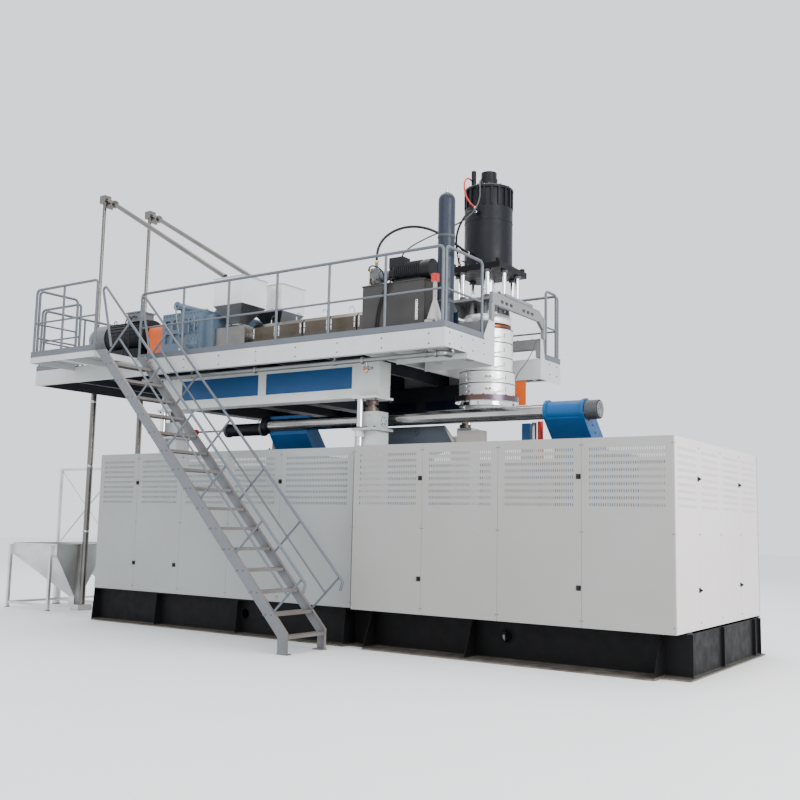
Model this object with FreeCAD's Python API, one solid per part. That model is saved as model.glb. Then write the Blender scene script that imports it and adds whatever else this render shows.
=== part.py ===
import FreeCAD, Part
import math
import os

# Accumulator-head blow moulding machine, in millimetres.
# Origin: centre of the anchor-bolt rectangle, on the floor. +X runs along the
# machine from the raw-material end to the mould end, +Y to the back, +Z up.

V = FreeCAD.Vector

# ---------------------------------------------------------------- driving sizes
BASE_TOP = 523.0              # top of the black base frames
FOOT_IN = 1290.0              # inner edge of the bottom flanges, from the centre line
ANCHOR = (4600.0, 1350.0, 16.0)  # anchor-bolt half spacings and hole radius
GUARD_TOP = 2723.0            # top edge of the guard enclosures
BACK_Y = 1670.0               # back face of both enclosures
RIGHT_X = (485.0, 4935.0)     # right enclosure, along X
RIGHT_FRONT = -1800.0
LEFT_X = (-4955.0, 355.0)     # left enclosure, along X
LEFT_FRONT = -1640.0
LEFT_SEAMS = (-4955.0, -4025.0, -3005.0, -1985.0, -965.0, 355.0)
SKIN = 3.0                    # guard sheet
LEAF_DEPTH = 25.0             # folded depth of a door or cover
LEAF_GAP = 3.0                # clearance round each leaf

SLOT_ROWS = 9
SLOT_PITCH_X = 28.0
SLOT_PITCH_Z = 81.0
SLOT_W = 9.0
SLOT_H = 36.0
SLOT_TOP = 135.0              # first row below the leaf's top edge
SLOT_MARGIN = 90.0            # clear sheet at each side of a row

LATCH_Z = (974.0, 2270.0)
LATCH_SHAFT_R = 8.0
LATCH_INSET = 34.0            # latch axis to the free edge of its leaf
LATCH_REACH = 52.0            # cam length, to pass behind the neighbouring leaf

HEAD_X = 1535.0               # die-head axis; its Y is 0
BEAM_Z = (3440.0, 3945.0)     # lower beam frame
FASCIA_Z = (3945.0, 4195.0)   # platform edge channels
DECK_T = 12.0
DECK_TOP = FASCIA_Z[1] + DECK_T
TOE_TOP = 4283.0
MID_RAIL_Z = 4720.0
TOP_RAIL_Z = 5285.0
RAIL_R = 21.0
PLATFORM_X = (-6365.0, 2041.0)
PLATFORM_Y = (-2020.0, 1430.0)
LANDING_X = (-5325.0, -3755.0)
LANDING_FRONT = -2883.0
LANDING_TOP = 4230.0
FRONT_ARM_IN = -700.0         # inner face of the front arm round the head
BACK_ARM_IN = 745.0
NOTCH_X = 900.0               # where the two arms begin

COLUMN_X = (-3575.0, 405.0)
COLUMN_Y = (-1305.0, 1305.0)
COLUMN_SIZE = (380.0, 290.0)
COLUMN_TOP = 2960.0
SCREW_R = 60.0
GUIDE_R = 45.0
GUIDE_DX = 60.0               # guide rod, to the left of its column
COLLAR_R = 68.0

TIE_Y = 980.0
TIE_TOP_Z = 3160.0
TIE_LOW_Z = 900.0
TIE_R = 98.0
PLATEN_HALF = 790.0
PLATEN_Z = (640.0, 2700.0)
RIGHT_PLATEN_X = (2983.0, 3540.0)
TIE_BARS = ((-TIE_Y, TIE_TOP_Z), (TIE_Y, TIE_LOW_Z))   # a diagonal pair
REAR_PLATEN_X = (-1685.0, -1045.0)
REAR_WEB_BACK = 110.0         # how far the upper bracket stands out behind the rear platen
MIDDLE_PLATEN_X = (-165.0, 135.0)
CLAMP_AXIS_Z = 1600.0

EXTRUDERS = ((0.0, -1080.0), (180.0, -320.0))   # X shift and axis Y of each line
BARREL_Z = 4600.0
MOTOR_Z = 4825.0
BARREL_R = 115.0
SCREW_CORE_R = 44.0
MANIFOLD_X = (960.0, 1115.0)
MELT_R = 30.0                 # melt channel between the barrels and the head

FIT = 0.05                    # radial clearance of a running fit


# ---------------------------------------------------------------- helpers
def box(x0, x1, y0, y1, z0, z1):
    return Part.makeBox(x1 - x0, y1 - y0, z1 - z0, V(x0, y0, z0))


def rod(start, end, radius):
    axis = V(*end) - V(*start)
    return Part.makeCylinder(radius, axis.Length, V(*start), axis)


def sleeve(start, end, radius, bore):
    return rod(start, end, radius).cut(rod(start, end, bore))


def polygon(points):
    return Part.makePolygon([V(*p) for p in points + points[:1]])


def pierced(outer, holes):
    """Flat face with polygonal holes; each hole is wound against the outline."""
    return Part.Face([polygon(outer)] + [polygon(hole[::-1]) for hole in holes])


def prism(points, depth):
    """A closed outline of 3-D points, extruded by the vector depth."""
    return Part.Face(polygon(points)).extrude(V(*depth))


def outline_yz(x, pairs):
    return [(x, y, z) for y, z in pairs]


def outline_xz(y, pairs):
    return [(x, y, z) for x, z in pairs]


def fuse(shapes):
    joined = shapes[0].fuse(shapes[1:]).removeSplitter()
    return joined.Solids[0] if len(joined.Solids) == 1 else joined


def frustum(low, high):
    """Solid between two level rectangles, each (x0, x1, y0, y1, z)."""
    wires = []
    for x0, x1, y0, y1, z in (low, high):
        wires.append(polygon([(x0, y0, z), (x1, y0, z), (x1, y1, z), (x0, y1, z)]))
    return Part.makeLoft(wires, True, True)


def turned(pairs, x, y):
    """Body of revolution about the vertical through (x, y), from (r, z) pairs."""
    face = Part.Face(polygon([(x + r, y, z) for r, z in pairs]))
    return face.revolve(V(x, y, 0), V(0, 0, 1), 360)


def save(node, shapes):
    solids = []
    for shape in shapes:
        solids.extend(shape.Solids)
    result = solids[0] if len(solids) == 1 else Part.makeCompound(solids)
    result.exportStep("parts/" + node + ".step")
    print(node, len(solids), "solids", round(result.Volume / 1e9, 4), "m3")


def channel_along(start, end, depth_dir, depth, flange_dir, flange, web):
    """C-section run from start to end; the web stands along depth_dir."""
    s = V(*start)
    d = V(*depth_dir).normalize()
    f = V(*flange_dir).normalize()
    corners = ((0, 0), (0, flange), (web, flange), (web, web), (depth - web, web),
               (depth - web, flange), (depth, flange), (depth, 0))
    points = [s + d * a + f * b for a, b in corners]
    wire = Part.makePolygon(points + points[:1])
    return Part.Face(wire).extrude(V(*end) - s)


# ---------------------------------------------------------------- round-cornered paths
def path_wire(points, radius=None):
    """Straight runs joined by tangent arcs; returns the wire and the arc radii."""
    pts = [V(*p) for p in points]
    edges = []
    radii = []
    here = pts[0]
    for before, corner, after in zip(pts, pts[1:], pts[2:]):
        back = (before - corner)
        ahead = (after - corner)
        half_turn = (math.pi - back.getAngle(ahead)) / 2
        short = min(back.Length, ahead.Length)
        r = radius if radius else 0.45 * short / math.tan(half_turn)
        cut = r * math.tan(half_turn)
        back.normalize()
        ahead.normalize()
        begin = corner + back * cut
        finish = corner + ahead * cut
        inward = (back + ahead).normalize()
        middle = corner + inward * (r / math.cos(half_turn) - r)
        edges.append(Part.LineSegment(here, begin).toShape())
        edges.append(Part.Arc(begin, middle, finish).toShape())
        radii.append(round(r, 1))
        here = finish
    edges.append(Part.LineSegment(here, pts[-1]).toShape())
    return Part.Wire(edges), radii


def bent_tube(points, r, radius):
    wire, _ = path_wire(points, radius)
    start = V(*points[0])
    profile = Part.Wire(Part.makeCircle(r, start, V(*points[1]) - start))
    return wire.makePipeShell([profile], True, False)


def cord(node, points, diameter):
    wire, radii = path_wire(points)
    start = V(*points[0])
    circle = Part.makeCircle(diameter / 2, start, V(*points[1]) - start)
    tube = wire.makePipeShell([Part.Wire(circle)], True, False)
    ideal = math.pi * diameter ** 2 / 4 * wire.Length
    print(node, "length", round(wire.Length), "radii", radii,
          "volume ratio", round(tube.Volume / ideal, 4))
    save(node, [tube])


# ---------------------------------------------------------------- base
def base_beam(y_web, side, x0, x1, toe_out):
    """Long I-beam of the base; side is -1 at the front and 1 at the back."""
    web_in = y_web - side * 12
    out = y_web + side * toe_out
    inner = y_web - side * 100
    foot_in = side * FOOT_IN
    pairs = [(out, 0), (out, 20), (y_web, 20), (y_web, 503), (y_web + side * 90, 503),
             (y_web + side * 90, BASE_TOP), (inner, BASE_TOP), (inner, 503),
             (web_in, 503), (web_in, 20), (foot_in, 20), (foot_in, 0)]
    return prism(outline_yz(x0, pairs), (x1 - x0, 0, 0))


def base_frames():
    right = (275.0, 4953.0)
    left = (-4955.0, 275.0)
    hole_x = {right: 2647.0, left: -1646.0}
    shapes = []
    for span, front, toe in ((right, -1400.0, 129.0), (left, -1543.0, 129.0)):
        web_hole = rod((hole_x[span], front - 40, 305), (hole_x[span], front + 40, 305), 75)
        shapes.append(base_beam(front, -1, span[0], span[1], toe).cut(web_hole))
        shapes.append(base_beam(1480.0, 1, span[0], span[1], 129.0))
        for x in (span[0], (span[0] + span[1]) / 2 - 10, span[1] - 12):
            shapes.append(box(x, x + 12, front + 12, 1468, 20, 503))
    # wide toe of the right base, with upright stiffeners at its ends
    shapes.append(box(635, 4659, -1730, -1529, 0, 20))
    for x in (635, 2200, 4647):
        pairs = [(-1730, 20), (-1400, 20), (-1400, 503), (-1490, 503), (-1529, 440)]
        shapes.append(prism(outline_yz(x, pairs), (12, 0, 0)))
    for x in (-4955, -3470, -1740, 263):
        pairs = [(-1672, 20), (-1543, 20), (-1543, 503), (-1633, 503)]
        shapes.append(prism(outline_yz(x, pairs), (12, 0, 0)))
    # right-hand end: upright stiffeners on the end plate and a toe
    shapes.append(box(4953, 5008, -1529, 1609, 0, 20))
    for y in (-1400, -200, 1200, 1468):
        shapes.append(box(4953, 4990, y, y + 12, 20, 503))
    drilled = []
    for shape in shapes:
        for x in (-ANCHOR[0], ANCHOR[0]):
            for y in (-ANCHOR[1], ANCHOR[1]):
                hole = rod((x, y, -1), (x, y, 21), ANCHOR[2])
                if shape.BoundBox.intersect(hole.BoundBox):
                    shape = shape.cut(hole)
        drilled.append(shape)
    save("base_frames", drilled)


def slide_rails():
    shapes = []
    for y in (-620.0, 620.0):
        shapes.append(box(-3300, 4300, y - 90, y + 90, BASE_TOP, BASE_TOP + 40))
        pairs = [(y - 45, 563), (y + 45, 563), (y + 45, 575), (y + 30, 588),
                 (y + 45, 600), (y + 45, 615), (y - 45, 615), (y - 45, 600),
                 (y - 30, 588), (y - 45, 575)]
        shapes.append(prism(outline_yz(-3200, pairs), (7400, 0, 0)))
    for x in (-3100, -1300, 500, 2300, 4100):
        shapes.append(box(x, x + 160, -1388, 1468, BASE_TOP - 120, BASE_TOP - 20.5))
    save("slide_rails", shapes)


# ---------------------------------------------------------------- guard enclosures
def guard_frame():
    """Square-tube uprights and edge rails that carry the doors and covers."""
    post = 40.0
    shapes = []
    spans = ((RIGHT_X, RIGHT_FRONT, (485, 1597.5, 2710, 3822.5, 4935)),
             (LEFT_X, LEFT_FRONT, LEFT_SEAMS))
    for (x0, x1), front, stations in spans:
        y_front = front + LEAF_DEPTH + 5
        y_back = BACK_Y - LEAF_DEPTH - 5 - post
        low, high = BASE_TOP, GUARD_TOP - 4
        ends = (x0 + 32, x1 - 32 - post)
        for x in ends:
            for y in (y_front, y_back):
                shapes.append(box(x, x + post, y, y + post, low, high))
        for y in (y_front, y_back):
            shapes.append(box(ends[0] + post, ends[1], y, y + post, high - post, high))
            shapes.append(box(ends[0] + post, ends[1], y, y + post, low, low + post))
        middles = stations[2:-2:2] if x0 > 0 else stations[1:-1]
        for x in middles:
            for y in (y_front, y_back):
                shapes.append(box(x - post / 2, x + post / 2, y, y + post,
                                  low + post, high - post))
        outer = ends[1] if x0 > 0 else ends[0]
        for z in (low, high - post):
            shapes.append(box(outer, outer + post, y_front + post, y_back, z, z + post))
        shapes.append(box(outer, outer + post, -post / 2, post / 2, low + post, high - post))
    save("guard_frame", shapes)


def slot_wires(width, height):
    """Louvre slots on the XZ plane for a leaf whose low corner is the origin."""
    columns = int((width - 2 * SLOT_MARGIN) / SLOT_PITCH_X)
    first = (width - (columns - 1) * SLOT_PITCH_X) / 2
    wires = []
    for row in range(SLOT_ROWS):
        z = height - SLOT_TOP - row * SLOT_PITCH_Z
        for column in range(columns):
            x = first + column * SLOT_PITCH_X
            wires.append(polygon([(x - SLOT_W / 2, 0, z - SLOT_H / 2),
                                  (x - SLOT_W / 2, 0, z + SLOT_H / 2),
                                  (x + SLOT_W / 2, 0, z + SLOT_H / 2),
                                  (x + SLOT_W / 2, 0, z - SLOT_H / 2)]))
    return wires


def leaf(width, slotted, shaft_holes=()):
    """Folded sheet: skin on the XZ plane facing -Y, returns going back along +Y."""
    height = GUARD_TOP - BASE_TOP
    outer = [(0, 0, 0), (width, 0, 0), (width, 0, height), (0, 0, height)]
    wires = [polygon(outer)]
    if slotted:
        wires.extend(slot_wires(width, height))
    for x, z in shaft_holes:
        circle = Part.makeCircle(LATCH_SHAFT_R + 0.5, V(x, 0, z - BASE_TOP), V(0, 1, 0))
        wires.append(Part.Wire(circle))
    skin = Part.Face(wires).extrude(V(0, SKIN, 0))
    rim_out = [(x, SKIN, z) for x, _, z in outer]
    rim_in = [(abs(x - SKIN), SKIN, abs(z - SKIN)) for x, _, z in outer]
    rim = pierced(rim_out, [rim_in]).extrude(V(0, LEAF_DEPTH - SKIN, 0))
    return skin.fuse(rim).Solids[0]


def placed(shape, x, y, turn=0.0):
    """Leaf moved to its place; turn is about Z, in degrees, before moving."""
    copy = shape.copy()
    copy.rotate(V(0, 0, 0), V(0, 0, 1), turn)
    copy.translate(V(x, y, BASE_TOP))
    return copy


def latch(node, x, y, z, outward):
    """Quarter-turn latch: knob, shaft and cam on one axis along outward."""
    out = V(*outward)
    face = V(x, y, z)
    shaft_in = face - out * (LEAF_DEPTH + 7.5)
    shaft_out = face + out * 8
    knob = Part.makeCylinder(17, 16, shaft_out, out)
    grip = Part.makeCylinder(9, 12, shaft_out + out * 16, out)
    shaft = Part.makeCylinder(LATCH_SHAFT_R, (shaft_out - shaft_in).Length, shaft_in, out)
    across = V(0, 0, 1).cross(out)
    corner = shaft_in - across * 10 - V(0, 0, 12)
    reach = V(0, 0, LATCH_REACH + 12)
    cam_face = Part.makePolygon([corner, corner + across * 20, corner + across * 20 + reach,
                                 corner + reach, corner])
    cam = Part.Face(cam_face).extrude(out * 6)
    save(node, [fuse([knob, grip, shaft, cam])])


def doors_and_latches():
    """Four front leaves and four end leaves, with two latches at each meeting seam."""
    width = (RIGHT_X[1] - RIGHT_X[0]) / 4
    number = 0
    for i in range(4):
        meets = i in (0, 2)
        holes = [(width - LEAF_GAP - LATCH_INSET, z) for z in LATCH_Z] if meets else []
        x = RIGHT_X[0] + i * width
        shape = leaf(width - LEAF_GAP, True, holes)
        save("front_door_%d" % (i + 1), [placed(shape, x, RIGHT_FRONT)])
        for hole_x, z in holes:
            number += 1
            latch("front_latch_%d" % number, x + hole_x, RIGHT_FRONT, z, (0, -1, 0))
    first = RIGHT_FRONT + LEAF_DEPTH + 5
    width = (BACK_Y - LEAF_DEPTH - 5 - first) / 4
    number = 0
    for i in range(4):
        meets = i in (0, 2)
        holes = [(width - LEAF_GAP - LATCH_INSET, z) for z in LATCH_Z] if meets else []
        y = first + i * width
        shape = leaf(width - LEAF_GAP, True, holes)
        save("end_door_%d" % (i + 1), [placed(shape, RIGHT_X[1], y, 90)])
        for hole_y, z in holes:
            number += 1
            latch("end_latch_%d" % number, RIGHT_X[1], y + hole_y, z, (1, 0, 0))


def cover_latches():
    """Turn buttons of the left front covers, clear of the sheet by a millimetre."""
    shapes = []
    for x, z in ((-4025, 2250), (-4025, 965), (-3100, 965), (-973, 2250)):
        shapes.append(box(x - 30, x + 30, LEFT_FRONT - 9, LEFT_FRONT - 1, z - 30, z + 30))
        shapes.append(rod((x, LEFT_FRONT - 9, z), (x, LEFT_FRONT - 27, z), 17))
    return shapes


def covers():
    """Lift-off covers: front and end of the left enclosure, and both backs."""
    shapes = []
    for x0, x1 in zip(LEFT_SEAMS, LEFT_SEAMS[1:]):
        shapes.append(placed(leaf(x1 - x0 - LEAF_GAP, True), x0, LEFT_FRONT))
        shapes.append(placed(leaf(x1 - x0 - LEAF_GAP, False), x1, BACK_Y, 180))
    width = (RIGHT_X[1] - RIGHT_X[0]) / 4
    for i in range(4):
        x = RIGHT_X[0] + (i + 1) * width
        shapes.append(placed(leaf(width - LEAF_GAP, False), x, BACK_Y, 180))
    first = LEFT_FRONT + LEAF_DEPTH + 5
    width = (BACK_Y - LEAF_DEPTH - 5 - first) / 3
    for i in range(3):
        y = first + (i + 1) * width
        shapes.append(placed(leaf(width - LEAF_GAP, False), LEFT_X[0], y, -90))
    save("enclosure_covers", shapes + cover_latches())


# ---------------------------------------------------------------- platform jacks
def jack_columns():
    """Four box columns, each with a flange, guide bush and screw-jack gearbox."""
    shapes = []
    half_x, half_y = COLUMN_SIZE[0] / 2, COLUMN_SIZE[1] / 2
    for x in COLUMN_X:
        for y in COLUMN_Y:
            side = -1 if y < 0 else 1
            guide_y = y + side * 205
            outer = box(x - half_x, x + half_x, y - half_y, y + half_y, BASE_TOP, COLUMN_TOP)
            inner = box(x - half_x + 16, x + half_x - 16, y - half_y + 16, y + half_y - 16,
                        BASE_TOP, COLUMN_TOP)
            shapes.append(outer.cut(inner))
            ends = sorted((y - side * 175, guide_y + side * 75))
            flange = box(x - 150, x + 250, ends[0], ends[1], COLUMN_TOP, COLUMN_TOP + 32)
            guide_x = x - GUIDE_DX
            screw_hole = rod((x, y, COLUMN_TOP - 1), (x, y, 3300), SCREW_R + 1)
            bore = rod((guide_x, guide_y, 2800), (guide_x, guide_y, 3300), GUIDE_R + FIT)
            shapes.append(flange.cut(screw_hole).cut(bore))
            bush = sleeve((guide_x, guide_y, COLUMN_TOP - 90), (guide_x, guide_y, COLUMN_TOP),
                          COLLAR_R, GUIDE_R + FIT)
            shapes.append(bush)
            gear = box(x - 75, x + 190, y - 130, y + 130, COLUMN_TOP + 32, 3235)
            cover = rod((x + 190, y, 3110), (x + 206, y, 3110), 70)
            shapes.append(fuse([gear.cut(screw_hole), cover]))
    save("jack_columns", shapes)


def jack_screws():
    """Lifting screws with their head blocks and chrome guide rods."""
    shapes = []
    for x in COLUMN_X:
        for y in COLUMN_Y:
            side = -1 if y < 0 else 1
            guide_y = y + side * 205
            screw = rod((x, y, 2250), (x, y, BEAM_Z[0] - 32), SCREW_R)
            collar = rod((x, y, 3236), (x, y, 3300), 95)
            neck = rod((x, y, 3350), (x, y, BEAM_Z[0] - 32), 90)
            shapes.append(fuse([screw, collar, neck]))
            ends = sorted((y - side * 165, guide_y + side * 65))
            shapes.append(box(x - 160, x + 250, ends[0], ends[1], BEAM_Z[0] - 32, BEAM_Z[0]))
            guide_x = x - GUIDE_DX
            shapes.append(rod((guide_x, guide_y, 2300), (guide_x, guide_y, BEAM_Z[0] - 32),
                              GUIDE_R))
    save("jack_screws", shapes)


# ---------------------------------------------------------------- platform
def hollow_beam(x0, x1, y0, y1, z0, z1, wall, along):
    """Box-section beam, open at its two ends along 'x' or 'y'."""
    outer = box(x0, x1, y0, y1, z0, z1)
    if along == "x":
        inner = box(x0, x1, y0 + wall, y1 - wall, z0 + wall, z1 - wall)
    else:
        inner = box(x0 + wall, x1 - wall, y0, y1, z0 + wall, z1 - wall)
    return outer.cut(inner)


def lower_beam_frame():
    x0, x1 = -3765.0, 615.0
    z0, z1 = BEAM_Z
    shapes = []
    for y0 in (-1440.0, 1160.0):
        shapes.append(hollow_beam(x0, x1, y0, y0 + 280, z0, z1, 14, "x"))
        for x in (x0, x1 - 14):
            shapes.append(box(x, x + 14, y0 + 14, y0 + 266, z0 + 14, z1 - 14))
    for x in (x0, -2350.0, -1330.0):
        shapes.append(hollow_beam(x, x + 280, -1160, 1160, z0 + 60, z1, 14, "y"))
    save("lower_beam_frame", shapes)


def beam_panels():
    """Blue infill plates on the outer faces of the long beams and the back beam's inside."""
    shapes = []
    for x0, x1 in ((-3310.0, -1660.0), (-1495.0, 135.0)):
        shapes.append(box(x0, x1, -1446, -1440, 3575, 3890))
        shapes.append(box(x0, x1, 1440, 1446, 3575, 3890))
    for x0, x1 in ((-3310.0, -2360.0), (-2060.0, -1340.0), (-1040.0, -455.0), (-280.0, 590.0)):
        shapes.append(box(x0, x1, 1154, 1160, 3480, 3700))
    save("beam_panels", shapes)


def edge_channel(start, end, inward):
    height = FASCIA_Z[1] - FASCIA_Z[0]
    return channel_along(start, end, (0, 0, 1), height, inward, 90, 10)


def platform_frame():
    z0, z1 = FASCIA_Z
    x0, x1 = PLATFORM_X
    y0, y1 = PLATFORM_Y
    shapes = [
        edge_channel((x0 + 10, y0, z0), (x1 - 10, y0, z0), (0, 1, 0)),
        edge_channel((x0 + 10, y1, z0), (x1 - 10, y1, z0), (0, -1, 0)),
        box(x0, x0 + 10, y0, y1, z0, z1),
    ]
    # end plates of the two arms, each with a gusset rising to the head's support beams
    front = [(y0, z0), (-1440, z0), (-1440, 3870), (FRONT_ARM_IN, 3870),
             (FRONT_ARM_IN, 4499), (-850, 4499), (-1000, 4240), (-1000, z1), (y0, z1)]
    shapes.append(prism(outline_yz(x1 - 10, front), (10, 0, 0)))
    back = [(BACK_ARM_IN, 3880), (y1, 3880), (y1, z1), (890, z1), (860, 4290),
            (810, 4499), (BACK_ARM_IN, 4499)]
    shapes.append(prism(outline_yz(x1 - 10, back), (10, 0, 0)))
    shapes.append(box(NOTCH_X, x1 - 10, FRONT_ARM_IN - 10, FRONT_ARM_IN, 3870, z1))
    shapes.append(box(NOTCH_X, x1 - 10, BACK_ARM_IN, BACK_ARM_IN + 10, 3880, z1))
    shapes.append(box(NOTCH_X, x1 - 10, -1440, -1430, 3870, z0))
    shapes.append(box(NOTCH_X, NOTCH_X + 60, FRONT_ARM_IN, BACK_ARM_IN, 3885, z1))
    # joists across, resting on the lower beam frame
    for x in (-5330, -4560, -3600, -2700, -1800, -900, 0, 700):
        shapes.append(box(x, x + 60, y0 + 90, y1 - 90, z0, z1 - 10))
    for x in (1150, 1650):
        shapes.append(box(x, x + 50, y0 + 90, FRONT_ARM_IN - 10, z0 + 10, z1 - 10))
        shapes.append(box(x, x + 50, BACK_ARM_IN + 10, y1 - 90, z0 + 10, z1 - 10))
    # landing, hung on the front edge
    lx0, lx1 = LANDING_X
    low = LANDING_TOP - 100
    shapes.append(box(lx0, lx1, LANDING_FRONT, LANDING_FRONT + 8, low, LANDING_TOP - 8))
    shapes.append(box(lx0, lx0 + 8, LANDING_FRONT + 8, y0, low, LANDING_TOP - 8))
    shapes.append(box(lx1 - 8, lx1, LANDING_FRONT + 8, y0, low, LANDING_TOP - 8))
    shapes.append(box(-4580, -4500, LANDING_FRONT + 8, y0, low, LANDING_TOP - 8))
    save("platform_frame", shapes)


def deck_plates():
    z0 = FASCIA_Z[1]
    x0, x1 = PLATFORM_X
    y0, y1 = PLATFORM_Y
    cuts = (x0, -4560.0, -2700.0, -900.0, NOTCH_X)
    shapes = []
    for a, b in zip(cuts, cuts[1:]):
        shapes.append(box(max(a + 3, x0 + 14), b - 3, y0 + 14, y1 - 14, z0, DECK_TOP))
    shapes.append(box(NOTCH_X + 3, x1 - 14, y0 + 14, -858, z0, DECK_TOP))
    shapes.append(box(NOTCH_X + 3, x1 - 14, 902, y1 - 14, z0, DECK_TOP))
    shapes.append(box(LANDING_X[0], LANDING_X[1], LANDING_FRONT, y0, LANDING_TOP - 8,
                      LANDING_TOP))
    save("deck_plates", shapes)


def rail_frame(corner_a, corner_b, floor, top, posts, mids):
    """Flat hand-rail panel: one bent tube, inner posts and mid rails."""
    ax, ay = corner_a
    bx, by = corner_b
    span = V(bx - ax, by - ay, 0)
    shapes = [bent_tube([(ax, ay, floor), (ax, ay, top), (bx, by, top), (bx, by, floor)],
                        RAIL_R, 70)]
    unit = V(span).normalize()
    stops = [0.0] + list(posts) + [span.Length]
    for s in posts:
        p = V(ax, ay, floor) + unit * s
        shapes.append(rod(tuple(p), (p.x, p.y, top - RAIL_R * 0.9), RAIL_R * 0.9))
    for z in mids:
        for s, e in zip(stops, stops[1:]):
            p = V(ax, ay, z) + unit * (s + RAIL_R * 0.85)
            q = V(ax, ay, z) + unit * (e - RAIL_R * 0.85)
            shapes.append(rod(tuple(p), tuple(q), RAIL_R * 0.7))
    return shapes


def guard_rails():
    x0, x1 = PLATFORM_X
    y0, y1 = PLATFORM_Y
    front, back = y0 + 34, y1 - 34
    mids = (MID_RAIL_Z,)
    top = TOP_RAIL_Z
    shapes = []
    step = 965.0
    inner = [step * i for i in range(1, 6)]
    shapes += rail_frame((-3755, front), (1985, front), DECK_TOP, top, inner, mids)
    shapes += rail_frame((2007, front + 40), (2007, -1005), DECK_TOP, top, (), mids)
    shapes += rail_frame((x0 + 34, front), (LANDING_X[0] + 40, front), DECK_TOP, top, (), mids)
    shapes += rail_frame((x0 + 34, front + 60), (x0 + 34, back - 60), DECK_TOP, top,
                         (850, 1700, 2550), mids)
    back_posts = [1040.0 * i for i in range(1, 8)]
    shapes += rail_frame((x0 + 34, back), (2007, back), DECK_TOP, top, back_posts, mids)
    shapes += rail_frame((2007, 980), (2007, back - 60), DECK_TOP, top, (), mids)
    # landing rails: front and left side
    lx0, lx1 = LANDING_X
    ly = LANDING_FRONT + 30
    landing_mids = (LANDING_TOP + 330, LANDING_TOP + 560)
    shapes += rail_frame((lx0 + 30, ly), (lx1 - 30, ly), LANDING_TOP, 5345, (700,),
                         landing_mids[1:])
    shapes += rail_frame((lx0 + 30, ly + 60), (lx0 + 30, y0 - 30), LANDING_TOP, 5345, (),
                         landing_mids)
    # toe boards of the landing, then of the platform
    low, high = LANDING_TOP + 1, LANDING_TOP + 90
    shapes.append(box(lx0, lx1, LANDING_FRONT, LANDING_FRONT + 6, low, high))
    shapes.append(box(lx0, lx0 + 6, LANDING_FRONT + 6, y0 - 6, low, high))
    low, high = FASCIA_Z[1] + 1, TOE_TOP
    shapes.append(box(-3755, x1, y0, y0 + 8, low, high))
    shapes.append(box(x0, LANDING_X[0], y0, y0 + 8, low, high))
    shapes.append(box(x1 - 8, x1, y0 + 8, -1000, low, high))
    shapes.append(box(x1 - 8, x1, 900, y1 - 8, low, high))
    shapes.append(box(x0, x1, y1 - 8, y1, low, high))
    shapes.append(box(x0, x0 + 8, y0 + 8, y1 - 8, low, high))
    save("guard_rails", shapes)


# ---------------------------------------------------------------- stair
STAIR_LOW = (297.0, 273.0)    # ends of a stringer's upper edge, (x, z)
STAIR_HIGH = (-3502.0, 4225.0)
STAIR_Y = (-2883.0, -2070.0)
STRINGER_WIDE = 208.0         # level width of the stringer band
STRINGER_T = 8.0
FOOT_WIDE = 147.0
FIRST_TREAD_Z = 232.0
RISER = 270.0
STAIR_STEPS = 15
TREAD_DEEP = 185.0
RAIL_ABOVE = 628.0            # hand rail above the stringer, square to it
MID_ABOVE = 308.0
RAIL_SPAN = (266.0, 6390.0)   # corners of the hand rail, along the slope from STAIR_LOW
FIRST_BRACE = 348.0
BRACE_PITCH = 1007.6
BRACES = 6


def stair_direction():
    """Unit vectors up the slope and square to it (upward), with the slope in dz/dx."""
    run = STAIR_HIGH[0] - STAIR_LOW[0]
    rise = STAIR_HIGH[1] - STAIR_LOW[1]
    along = V(run, 0, rise).normalize()
    return along, V(rise, 0, -run).normalize(), rise / run


def stair_flight():
    _, _, slope = stair_direction()
    (ux, uz), (tx, tz) = STAIR_LOW, STAIR_HIGH
    left = ux - FOOT_WIDE
    bend = uz + (left + STRINGER_WIDE - ux) * slope
    shapes = []
    for y, side in ((STAIR_Y[0], 1), (STAIR_Y[1], -1)):
        face = [(left, 12), (left, bend), (tx - STRINGER_WIDE, tz), (tx, tz), (ux, uz), (ux, 12)]
        web = prism(outline_xz(y, face), (0, side * STRINGER_T, 0))
        lip = [(ux, uz), (tx, tz), (tx - 11, tz), (ux - 11, uz)]
        flange = prism(outline_xz(y, lip), (0, side * 40, 0))
        edge = sorted((y, y + side * 40))
        upright = box(ux - 8, ux, edge[0], edge[1], 12, uz)
        foot = sorted((y, y + side * 90))
        pad = box(left - 15, ux + 15, foot[0], foot[1], 0, 12)
        shapes.append(fuse([web, flange, upright, pad]))
    inner = (STAIR_Y[0] + STRINGER_T + 0.5, STAIR_Y[1] - STRINGER_T - 0.5)
    for i in range(STAIR_STEPS):
        z = FIRST_TREAD_Z + RISER * i
        front = ux + (z - uz) / slope - 14
        back = front - TREAD_DEEP
        if z < uz:
            front = ux - 10
            back = left + 3
        pairs = [(back, z), (front, z), (front, z - 40), (front - 5, z - 40),
                 (front - 5, z - 5), (back + 5, z - 5), (back + 5, z - 40), (back, z - 40)]
        shapes.append(prism(outline_xz(inner[0], pairs), (0, inner[1] - inner[0], 0)))
    save("stair_flight", shapes)


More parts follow.
